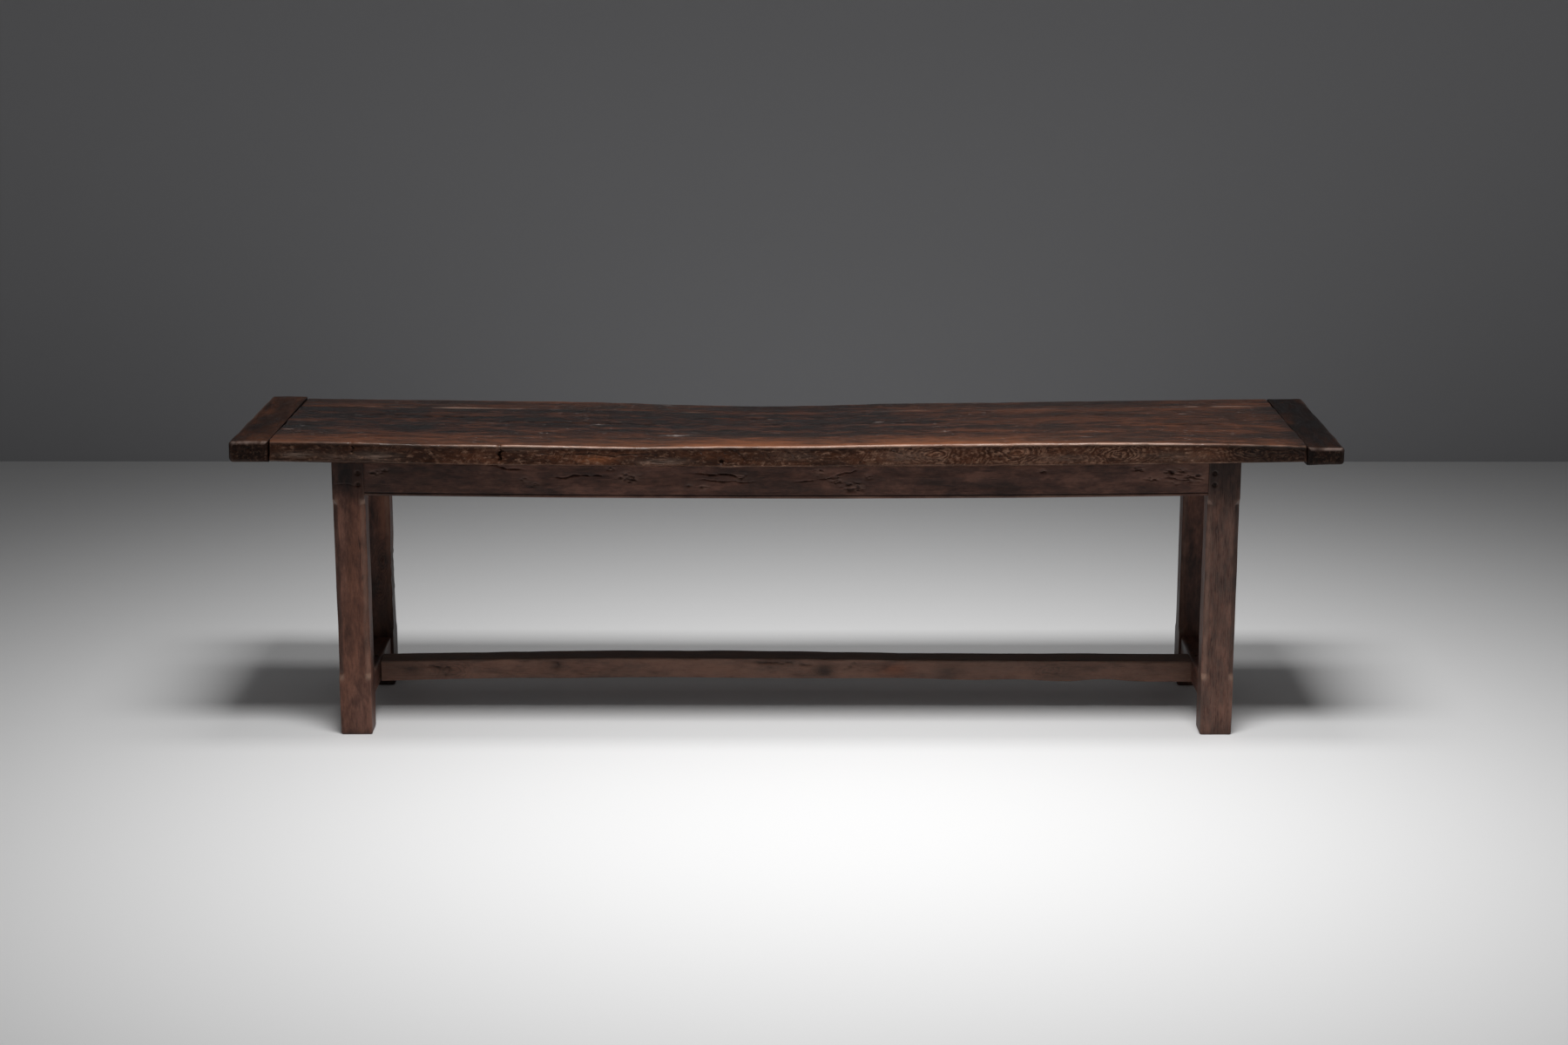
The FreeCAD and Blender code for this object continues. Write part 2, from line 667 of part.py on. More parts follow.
def make_plank_tongues(name):
    """The loose tongues, half in each plank."""
    solids = []
    for number, place in enumerate(SEAM_TONGUES, start=1):
        tongue = doc.addObject("Part::Box", f"{name}_{number}")
        bind(tongue, "Length", "seam_tongue_length")
        bind(tongue, "Width", "seam_tongue_width")
        bind(tongue, "Height", "seam_tongue_thickness")
        low = f"{plank_middle(place)} - seam_tongue_thickness / 2"
        place_at(tongue, (f"{place} - seam_tongue_length / 2", "seam - seam_tongue_width / 2", low))
        solids.append(tongue)
    new_group(name, solids)


make_plank_tongues("plank_tongues")

# Build, check and write
doc.recompute()
failed = [item.Label for item in doc.Objects if {"Invalid", "Error"} & set(item.State)]
failed += [cut.Label for cut in cuts if cut.Shape.Volume >= cut.BaseFeature.Shape.Volume - 0.001]
for piece in timbers + groups:
    expected = len(piece.Links) if piece in groups else 1
    if piece.Shape.isNull() or not piece.Shape.isValid() or len(piece.Shape.Solids) != expected:
        failed.append(piece.Label)
if failed:
    raise RuntimeError("These did not build: " + ", ".join(failed))
os.makedirs("parts", exist_ok=True)
for piece in timbers + groups:
    piece.Shape.exportStep(f"parts/{piece.Label}.step")
    print(piece.Label, len(piece.Shape.Solids), round(piece.Shape.Volume))
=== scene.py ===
"""The looks of an old refectory table: hewn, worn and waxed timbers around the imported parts.

Lengths are in metres, but in millimetres in the tables of cracks, spots, stretches and knots.
"""
import itertools
import math
from collections import namedtuple

import bpy
import numpy as np
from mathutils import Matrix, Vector


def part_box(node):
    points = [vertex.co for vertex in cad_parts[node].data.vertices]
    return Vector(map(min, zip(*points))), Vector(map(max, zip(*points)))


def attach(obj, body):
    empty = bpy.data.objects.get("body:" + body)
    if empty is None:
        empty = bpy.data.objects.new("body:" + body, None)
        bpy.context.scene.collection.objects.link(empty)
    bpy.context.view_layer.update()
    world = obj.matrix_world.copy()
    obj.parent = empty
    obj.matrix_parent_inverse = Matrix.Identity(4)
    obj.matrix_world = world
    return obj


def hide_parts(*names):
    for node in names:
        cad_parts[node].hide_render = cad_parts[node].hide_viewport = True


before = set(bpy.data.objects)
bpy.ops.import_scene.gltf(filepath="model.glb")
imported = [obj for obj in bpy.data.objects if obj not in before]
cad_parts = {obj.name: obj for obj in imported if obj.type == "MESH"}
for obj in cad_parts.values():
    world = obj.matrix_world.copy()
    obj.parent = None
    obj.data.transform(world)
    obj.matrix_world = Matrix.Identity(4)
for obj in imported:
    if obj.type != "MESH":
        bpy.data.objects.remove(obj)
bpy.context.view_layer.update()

# Places taken from the frame, in metres

Box = namedtuple("Box", "x0 x1 y0 y1 z0 z1")


def node_box(node):
    """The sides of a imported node's box."""
    low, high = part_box(node)
    return Box(low.x, high.x, low.y, high.y, low.z, high.z)


FRONT_PLANK = node_box("top_plank_front")
BACK_PLANK = node_box("top_plank_back")
LEFT_CLEAT = node_box("cleat_left")
RIGHT_CLEAT = node_box("cleat_right")
LEG = node_box("leg_front_left")
APRON = node_box("apron_front")
END_STRETCHER = node_box("end_stretcher_left")
LONG_STRETCHER = node_box("long_stretcher")

TOP_HEIGHT = FRONT_PLANK.z1
TOP_FRONT = FRONT_PLANK.y0
TOP_BACK = BACK_PLANK.y1
PLANK_THICKNESS = 0.048
UNDERSIDE_AT_ENDS = TOP_HEIGHT - PLANK_THICKNESS
UNDERSIDE_SAG = UNDERSIDE_AT_ENDS - FRONT_PLANK.z0
LEFT_JOINT = LEFT_CLEAT.x1
RIGHT_JOINT = RIGHT_CLEAT.x0
LEG_SIDE = LEG.x1 - LEG.x0
SHOULDER_X = -LEG.x1
SHOULDER_Y = -LEG.y1
JOINT_GAP = 0.0008


# Noise that is the same on every run

HASH_STEPS = np.array((73856093, 19349663, 83492791), dtype=np.int64)
HASH_SEED_STEP = 40503
HASH_SPREAD = 0x45D9F3B
HASH_MASK = 0xFFFFFFFF


def hashed(cells, seed):
    """A repeatable number from 0 to 1 for each whole-numbered cell."""
    mixed = (cells * HASH_STEPS[: cells.shape[-1]]).sum(-1) + seed * HASH_SEED_STEP & HASH_MASK
    mixed = (mixed ^ (mixed >> 16)) * HASH_SPREAD & HASH_MASK
    mixed = (mixed ^ (mixed >> 16)) * HASH_SPREAD & HASH_MASK
    return (mixed ^ (mixed >> 16)) / HASH_MASK


def noise(points, cell, seed):
    """Smooth noise from -1 to 1 whose features are about one cell long, by axis."""
    scaled = points / np.asarray(cell, float)
    base = np.floor(scaled).astype(np.int64)
    blend = scaled - base
    blend = blend * blend * (3 - 2 * blend)
    total = np.zeros(points.shape[:-1])
    for corner in itertools.product((0, 1), repeat=points.shape[-1]):
        share = np.prod(np.where(corner, blend, 1 - blend), axis=-1)
        total += share * hashed(base + np.array(corner), seed)
    return 2 * total - 1


def layered_noise(points, cell, seed, layers=3):
    """Noise with finer, weaker layers added."""
    cell = np.asarray(cell, float)
    return sum(noise(points, cell / 2**k, seed + k) / 2**k for k in range(layers))


def scoops(points, cell, seed):
    """From 0 in the middle of a tool's scoop to 1 on the ridge between scoops."""
    scaled = points / np.asarray(cell, float)
    base = np.floor(scaled).astype(np.int64)
    nearest = np.full(points.shape[:-1], np.inf)
    for step in itertools.product((-1, 0, 1), repeat=2):
        cells = base + np.array(step)
        centre = cells + np.stack([hashed(cells, seed), hashed(cells, seed + 1)], axis=-1)
        nearest = np.minimum(nearest, ((scaled - centre) ** 2).sum(-1))
    return np.clip(nearest, 0, 1)


# Curves and marks

def smooth_curve(points):
    """A function that runs smoothly through a few (place, value) points."""
    places, values = np.array(points, float).T
    slopes = np.gradient(values, places)

    def curve(where):
        where = np.clip(where, places[0], places[-1])
        i = np.clip(np.searchsorted(places, where) - 1, 0, len(places) - 2)
        span = places[i + 1] - places[i]
        t = (where - places[i]) / span
        rise = values[i + 1] - values[i]
        bend_in = slopes[i] * span - rise
        bend_out = rise - slopes[i + 1] * span
        return values[i] + t * rise + t * (1 - t) * ((1 - t) * bend_in + t * bend_out)

    return curve


def fade(value, start, end):
    """0 before start and 1 after end, with a smooth rise between."""
    t = np.clip((value - start) / (end - start), 0, 1)
    return t * t * (3 - 2 * t)


def near(value, middle, reach, power=2):
    """1 where a value is at the middle, falling away over a reach, more steeply for a higher power."""
    return np.exp(-(np.abs((value - middle) / reach) ** power))


CRACK_WANDER = 0.0032


def crack(along, across, path, width):
    """How deep a crack is, from 0 to 1: it wanders along a path of points and thins out at its ends."""
    places = np.stack([along, across], -1)
    uneven = np.clip(0.75 + 0.6 * layered_noise(places, (0.014, 0.008), 6, 2), 0.25, 1)
    along = along + CRACK_WANDER * layered_noise(places, (0.02, 0.024), 4, 3)
    across = across + CRACK_WANDER * layered_noise(places, (0.026, 0.02), 3, 3)
    lengths = np.hypot(*np.diff(path, axis=0).T)
    travelled = np.concatenate([[0], np.cumsum(lengths)])
    nearest = np.full(along.shape, np.inf)
    place = np.zeros(along.shape)
    for (x0, y0), (x1, y1), length, before in zip(path, path[1:], lengths, travelled):
        t = np.clip(((along - x0) * (x1 - x0) + (across - y0) * (y1 - y0)) / length**2, 0, 1)
        distance = np.hypot(along - x0 - t * (x1 - x0), across - y0 - t * (y1 - y0))
        place = np.where(distance < nearest, before + t * length, place)
        nearest = np.minimum(nearest, distance)
    share = place / travelled[-1]
    thinning = np.clip(6 * share * (1 - share), 0, 1)
    return thinning * uneven * near(nearest, 0, width * uneven)


def metres(lengths):
    """Lengths in metres that are given in millimetres."""
    return np.array(lengths) / 1000


def bored(along, across, centre, radius):
    """1 inside a hole and 0 outside it, with a short slope between."""
    return near(np.hypot(along - centre[0], across - centre[1]), 0, radius, power=6)


def most(*amounts):
    """The largest of several amounts at each point."""
    return np.maximum.reduce(np.broadcast_arrays(*amounts))


def strongest(shape, amounts):
    """The largest of a list of amounts at each point, or 0 where the list is empty."""
    return most(np.zeros(shape), *amounts)


def spots(along, across, places):
    """The strongest at each point of several spots, which fall away from their middles.

    A spot is given as (along, across, reach along, reach across, weight), in millimetres.
    """
    shapes = []
    for *lengths, weight in places:
        x, y, reach_x, reach_y = metres(lengths)
        shapes.append(weight * np.exp(-(((along - x) / reach_x) ** 2) - ((across - y) / reach_y) ** 2))
    return strongest(along.shape, shapes)


def stretches(along, places):
    """The strongest at each point of several stretches, given as (middle, reach, weight) in millimetres."""
    shapes = [weight * near(along, *metres(lengths)) for *lengths, weight in places]
    return strongest(along.shape, shapes)


def cracks_in(along, across, cracks):
    """Depth and darkness of several cracks at each point.

    A crack is given as (width, depth, first point, second point and so on), in millimetres.
    """
    shapes = [(depth, crack(along, across, metres(path), metres(width))) for width, depth, *path in cracks]
    depths = strongest(along.shape, [metres(depth) * shape for depth, shape in shapes])
    return depths, strongest(along.shape, [shape**1.5 for depth, shape in shapes])


KNOT_STRETCH = 2.1


def knot_distance(along, across, knots):
    """0 in the middle of a knot and 1 where the grain has closed round it again.

    A knot is given as (along, across, size), in millimetres.
    """
    nearest = np.ones(along.shape)
    for x, y, size in map(metres, knots):
        nearest = np.minimum(nearest, np.hypot((along - x) / KNOT_STRETCH, across - y) / size)
    return nearest


# Timbers

WAYS = np.array(((1, 0), (0, 1), (-1, 0), (0, -1)), float)
FACINGS = np.array(((0, -1), (1, 0), (0, 1), (-1, 0)), float)
END_STEPS = 3
SHARP_ANGLE = math.radians(38)


def evenly(start, end, step, *crowded):
    """Places from start to end about a step apart, with more of them round the crowded places."""
    count = max(1, round((end - start) / step))
    places = [np.linspace(start, end, count + 1)]
    places += [np.linspace(low, high, round((high - low) / fine) + 1) for low, high, fine in crowded]
    places = np.unique(np.round(np.concatenate(places), 5))
    return places[(places >= start - 1e-6) & (places <= end + 1e-6)]


def shares(places):
    """Places inside a side as shares of its length, without its two ends."""
    return (places[1:-1] - places[0]) / (places[-1] - places[0])


def row(length, step, *crowded):
    """Points about a step apart along a side of a section, as shares of its length."""
    return shares(evenly(0, length, step, *crowded))


class Timber:
    """A closed length of wood: rings of points round its section, one after another along it.

    sides(along) gives the low a, high a, low b and high b of the section, cuts(along) the (a, b)
    reach of each eased corner from the low a, low b one round, and flats the points along the
    bottom, right, top and left sides, as shares of them.
    """

    def __init__(self, stations, sides, cuts, flats, rounding=0.002, caps=3, steps=4, roundness=None,
                 free_ends=False):
        along, inset, shrink, turn = self.with_ends(stations, rounding, caps)
        low_a, high_a, low_b, high_b = (np.broadcast_to(side, along.shape) for side in sides(along))
        corners = ((low_a + inset, low_b + inset), (high_a - inset, low_b + inset),
                   (high_a - inset, high_b - inset), (low_a + inset, high_b - inset))
        rounded = np.ones(along.shape) if roundness is None else roundness(along)
        self.ring(corners, cuts(along), flats, steps, rounded)
        middle_a = (low_a + high_a)[:, None] / 2
        middle_b = (low_b + high_b)[:, None] / 2
        self.a = middle_a + (self.a - middle_a) * shrink[:, None]
        self.b = middle_b + (self.b - middle_b) * shrink[:, None]
        self.along = np.repeat(along[:, None], self.a.shape[1], axis=1)
        self.out_along = np.repeat(np.sin(turn)[:, None], self.a.shape[1], axis=1)
        self.out_a *= np.cos(turn)[:, None]
        self.out_b *= np.cos(turn)[:, None]
        gaps = [self.a - low_a[:, None], high_a[:, None] - self.a,
                self.b - low_b[:, None], high_b[:, None] - self.b]
        if free_ends:
            gaps += [self.along - along.min(), along.max() - self.along]
        self.from_arris = np.maximum(np.sort(np.stack(gaps), axis=0)[1], 0)

    @staticmethod
    def with_ends(stations, rounding, caps):
        """Stations with the rounding and the closing rings of both ends added."""
        turn = np.linspace(math.pi / 2, 0, END_STEPS + 1)[:-1]
        round_along = rounding * (1 - np.sin(turn))
        round_inset = rounding * (1 - np.cos(turn))
        inner = stations[(stations > stations[0] + rounding) & (stations < stations[-1] - rounding)]
        closing = np.arange(1, caps + 1) / (caps + 1)
        start, end = np.full(caps, stations[0]), np.full(caps, stations[-1])
        along = np.concatenate([start, stations[0] + round_along, inner,
                                (stations[-1] - round_along)[::-1], end])
        none = np.zeros(len(inner))
        at_caps = np.full(caps, rounding)
        inset = np.concatenate([at_caps, round_inset, none, round_inset[::-1], at_caps])
        whole = np.ones(len(inner) + 2 * END_STEPS)
        shrink = np.concatenate([closing, whole, closing[::-1]])
        square = np.full(caps, math.pi / 2)
        turns = np.concatenate([-square, -turn, none, turn[::-1], square])
        return along, inset, shrink, turns

    def ring(self, corners, cuts, flats, steps, rounded):
        """Points and outward directions round the section of every station."""
        rows = {"a": [], "b": [], "out_a": [], "out_b": []}

        def add(place_a, place_b, facing):
            rows["a"].append(np.broadcast_to(place_a, rounded.shape))
            rows["b"].append(np.broadcast_to(place_b, rounded.shape))
            rows["out_a"].append(np.full(rounded.shape, facing[0]))
            rows["out_b"].append(np.full(rounded.shape, facing[1]))

        for side in range(4):
            way_in, way_out = WAYS[side - 1], WAYS[side]
            reach_out, reach_in = (cuts[side][side % 2], cuts[side][1 - side % 2])
            corner = corners[side]
            for t in np.linspace(0, 1, steps + 1):
                angle = t * math.pi / 2
                before = (1 - t) + rounded * (t - math.sin(angle))
                after = t + rounded * (1 - math.cos(angle) - t)
                place = [corner[k] - way_in[k] * reach_in * before + way_out[k] * reach_out * after
                         for k in (0, 1)]
                add(*place, math.cos(angle) * FACINGS[side - 1] + math.sin(angle) * FACINGS[side])
            following = (side + 1) % 4
            next_in = cuts[following][1 - following % 2]
            for share in flats[side]:
                start = [corner[k] + way_out[k] * reach_out for k in (0, 1)]
                end = [corners[following][k] - way_out[k] * next_in for k in (0, 1)]
                add(*[start[k] + share * (end[k] - start[k]) for k in (0, 1)], FACINGS[side])
        for key, columns in rows.items():
            setattr(self, key, np.stack(columns, axis=1))

    def places(self):
        """Each point as (along, a, b)."""
        return np.stack([self.along, self.a, self.b], axis=-1)

    def facing(self, axis, sign):
        """How much each point faces up or down one of the timber's axes, from 0 to 1."""
        return np.clip(sign * getattr(self, "out_" + axis), 0, 1)

    def push(self, distance):
        """Moves each point outwards."""
        self.along = self.along + distance * self.out_along
        self.a = self.a + distance * self.out_a
        self.b = self.b + distance * self.out_b


AXES = {"x": ((0, 1, 2), False), "y": ((1, 0, 2), True), "z": ((1, 2, 0), False)}
# Besides real wear, grime, warmth and scuffs, the wear mark also lays on painted highlights, the dirt mark
# painted shade, the warm mark a painted lighter face and the scuff mark painted glints.
MARKS = ("wear_and_highlight", "dirt_and_shade", "warm", "torn", "hewn", "knot", "scuff_and_glint")
NO_KNOT = 1.0
GRAIN_STEP = 0.61
GRAIN_SHIFTS = 97


def timber_mesh(timber, axis, first):
    """Vertices and faces of a timber whose length runs along an axis; faces count from first."""
    order, flipped = AXES[axis]
    places = timber.places()
    ends = np.stack([places[0].mean(0), places[-1].mean(0)])
    vertices = np.concatenate([places.reshape(-1, 3), ends])[:, order]
    rings, around = timber.a.shape
    i, j = np.meshgrid(np.arange(rings - 1), np.arange(around), indexing="ij")
    k = (j + 1) % around
    quads = np.stack([i * around + j, i * around + k, (i + 1) * around + k, (i + 1) * around + j], -1)
    quads = quads.reshape(-1, 4)
    here = np.arange(around)
    there = (here + 1) % around
    last = (rings - 1) * around
    start_fan = np.stack([there, here, np.full(around, rings * around)], -1)
    end_fan = np.stack([last + here, last + there, np.full(around, rings * around + 1)], -1)
    fans = np.concatenate([start_fan, end_fan])
    if flipped:
        quads, fans = quads[:, ::-1], fans[:, ::-1]
    return vertices, (quads + first).tolist() + (fans + first).tolist()


def with_end_points(values):
    """A value for each point of a timber, and for the two points that close its ends."""
    return np.concatenate([values.ravel(), [values[0].mean(), values[-1].mean()]])


def make_piece(name, axis, timbers, slot):
    """One object of one or more (timber, marks) pairs, which stands for the node of its name."""
    vertices, faces, grain = [], [], []
    marks = {mark: [] for mark in MARKS}
    count = 0
    for number, (timber, given) in enumerate(timbers):
        points, polygons = timber_mesh(timber, axis, count)
        vertices.append(points)
        faces += polygons
        count += len(points)
        offset = GRAIN_STEP * (number + sum(map(ord, name)) % GRAIN_SHIFTS)
        shifted = (timber.along + offset, timber.a + offset, timber.b - offset)
        grain.append(np.stack([with_end_points(values) for values in shifted], axis=-1))
        for mark in MARKS:
            value = given.get(mark, np.full(timber.a.shape, NO_KNOT if mark == "knot" else 0.0))
            marks[mark].append(with_end_points(np.clip(value, 0, 1)))
    mesh = bpy.data.meshes.new(name)
    mesh.from_pydata(np.concatenate(vertices).tolist(), [], faces)
    mesh.shade_smooth()
    mesh.set_sharp_from_angle(angle=SHARP_ANGLE)
    for mark, values in marks.items():
        layer = mesh.attributes.new(mark, "FLOAT", "POINT")
        layer.data.foreach_set("value", np.concatenate(values).astype(np.float32))
    layer = mesh.attributes.new("grain", "FLOAT_VECTOR", "POINT")
    layer.data.foreach_set("vector", np.concatenate(grain).astype(np.float32).ravel())
    mesh.materials.append(WOODS[slot])
    piece = bpy.data.objects.new("worn_" + name, mesh)
    bpy.context.scene.collection.objects.link(piece)
    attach(piece, "root")
    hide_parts(name)


# Materials

class Value:
    """A node's output. Sums and products of values are nodes of the same material."""

    def __init__(self, shader, socket):
        self.shader = shader
        self.socket = socket

    def joined(self, operation, other):
        """This value and another, joined by one of the maths node's operations."""
        return self.shader.node("ShaderNodeMath", {0: self, 1: other}, operation=operation)

    def __add__(self, other):
        return self.joined("ADD", other)

    def __mul__(self, other):
        return self.joined("MULTIPLY", other)

    def or_more(self, other):
        """The larger of this value and another."""
        return self.joined("MAXIMUM", other)

    def spread(self, low, high, to_low=0.0, to_high=1.0):
        """This value's range stretched to another, and held within it."""
        inputs = {0: self, 1: low, 2: high, 3: to_low, 4: to_high}
        return self.shader.node("ShaderNodeMapRange", inputs)


class Shader:
    """Adds nodes to one material and links them, so that a material reads as a recipe."""

    def __init__(self, name):
        self.material = bpy.data.materials.new(name)
        self.material.use_nodes = True
        self.nodes = self.material.node_tree.nodes
        self.links = self.material.node_tree.links
        self.surface = self.nodes["Principled BSDF"]

    def node(self, kind, inputs, output=0, **settings):
        """A new node with its settings and inputs; returns one of its outputs as a value."""
        made = self.nodes.new(kind)
        for key, value in settings.items():
            setattr(made, key, value)
        for key, value in inputs.items():
            self.feed(made.inputs[key], value)
        return Value(self, made.outputs[output])

    def feed(self, socket, value):
        """Links a value to an input, or sets the input's own value."""
        if isinstance(value, Value):
            self.links.new(value.socket, socket)
        else:
            socket.default_value = value

    def set_surface(self, **inputs):
        """Feeds the surface's inputs, named with underscores for spaces."""
        for name, value in inputs.items():
            self.feed(self.surface.inputs[name.replace("_", " ")], value)

    def mark(self, name):
        """A mark that the mesh carries, from 0 to 1."""
        return self.node("ShaderNodeAttribute", {}, output=2, attribute_name=name)

    def noise(self, along, across, detail, roughness=0.5, distortion=0.0, turn=0.0):
        """Cloudy noise from 0 to 1, scaled along and across the grain or a line turned from it."""
        places = self.node("ShaderNodeAttribute", {}, output=1, attribute_name="grain")
        if turn:
            inputs = {"Vector": places, "Angle": math.radians(turn)}
            places = self.node("ShaderNodeVectorRotate", inputs, rotation_type="Y_AXIS")
        scales = {0: places, 1: (along, across, across)}
        places = self.node("ShaderNodeVectorMath", scales, operation="MULTIPLY")
        inputs = {"Vector": places, "Scale": 1.0, "Detail": detail, "Roughness": roughness,
                  "Distortion": distortion}
        return self.node("ShaderNodeTexNoise", inputs)

    def ramp(self, factor, stops):
        """A colour for each factor, from (place, colour) stops."""
        made = self.nodes.new("ShaderNodeValToRGB")
        self.feed(made.inputs[0], factor)
        elements = made.color_ramp.elements
        while len(elements) < len(stops):
            elements.new(0.5)
        for element, (place, colour) in zip(elements, stops):
            element.position = place
            element.color = (*colour, 1)
        return Value(self, made.outputs[0])

    def cover(self, colour, amount, over):
        """A colour with another laid over it by an amount."""
        inputs = {0: amount, 6: colour, 7: (*over, 1)}
        return self.node("ShaderNodeMix", inputs, output=2, data_type="RGBA")


# worn is the colour of rubbed places and also of painted highlights and glints; torn is also partly dust
# and partly a painted grey sheen on the long stretcher's top; warm also paints the long stretcher's front
# lighter.
Look = namedtuple("Look", "shades warm worn torn hewn rough polish gloss wax specks relief")

# Colour of grime and pores, and also of painted shade
BLACK_GRIME_AND_SHADE = (0.0034, 0.0029, 0.0029)
# Colour of bruised wax, and also of painted glints
BRUISED_WAX_AND_GLINT = (0.3, 0.245, 0.225)
TORN_GREY = (0.135, 0.092, 0.072)
HEWN_BROWN = (0.046, 0.0158, 0.0076)
# Colour of the light lines on hewn faces, partly painted glints
HEWN_LIGHT_AND_GLINT = (0.25, 0.14, 0.092)
HEWN_DARK = (0.01, 0.0038, 0.0022)
WAX_ROUGHNESS = 0.24
HEWING_TURN = 60

PLANK_LOOK = Look(
    shades=((0.45, (0.0055, 0.0042, 0.0034)), (0.5, (0.0165, 0.0072, 0.0052)),
            (0.56, (0.064, 0.025, 0.015))),
    warm=(0.2, 0.07, 0.029), worn=(0.74, 0.48, 0.365), torn=TORN_GREY, hewn=0.8,
    rough=(0.3, 0.52), polish=0.16, gloss=0.1, wax=0.45, specks=0.6, relief=0.0011)
CLEAT_LOOK = Look(
    shades=((0.42, (0.003, 0.0022, 0.0021)), (0.5, (0.013, 0.0058, 0.004)),
            (0.59, (0.042, 0.016, 0.0088))),
    warm=(0.095, 0.034, 0.0145), worn=(0.36, 0.265, 0.23), torn=TORN_GREY, hewn=0.5,
    rough=(0.32, 0.54), polish=0.2, gloss=0.08, wax=0.08, specks=0.1, relief=0.0012)
FRAME_LOOK = Look(
    shades=((0.42, (0.032, 0.0135, 0.0098)), (0.5, (0.083, 0.0355, 0.025)),
            (0.58, (0.168, 0.077, 0.054))),
    warm=(0.19, 0.07, 0.036), worn=(0.24, 0.15, 0.112), torn=(0.14, 0.105, 0.088), hewn=0.3,
    rough=(0.42, 0.6), polish=0.34, gloss=0.22, wax=0.0, specks=0.06, relief=0.0006)
PEG_LOOK = Look(
    shades=((0.4, (0.008, 0.0044, 0.0035)), (0.5, (0.02, 0.0096, 0.0068)),
            (0.6, (0.042, 0.0195, 0.013))),
    warm=(0.12, 0.05, 0.024), worn=(0.16, 0.085, 0.055), torn=TORN_GREY, hewn=0.0,
    rough=(0.45, 0.65), polish=0.4, gloss=0.1, wax=0.0, specks=0.0, relief=0.0004)


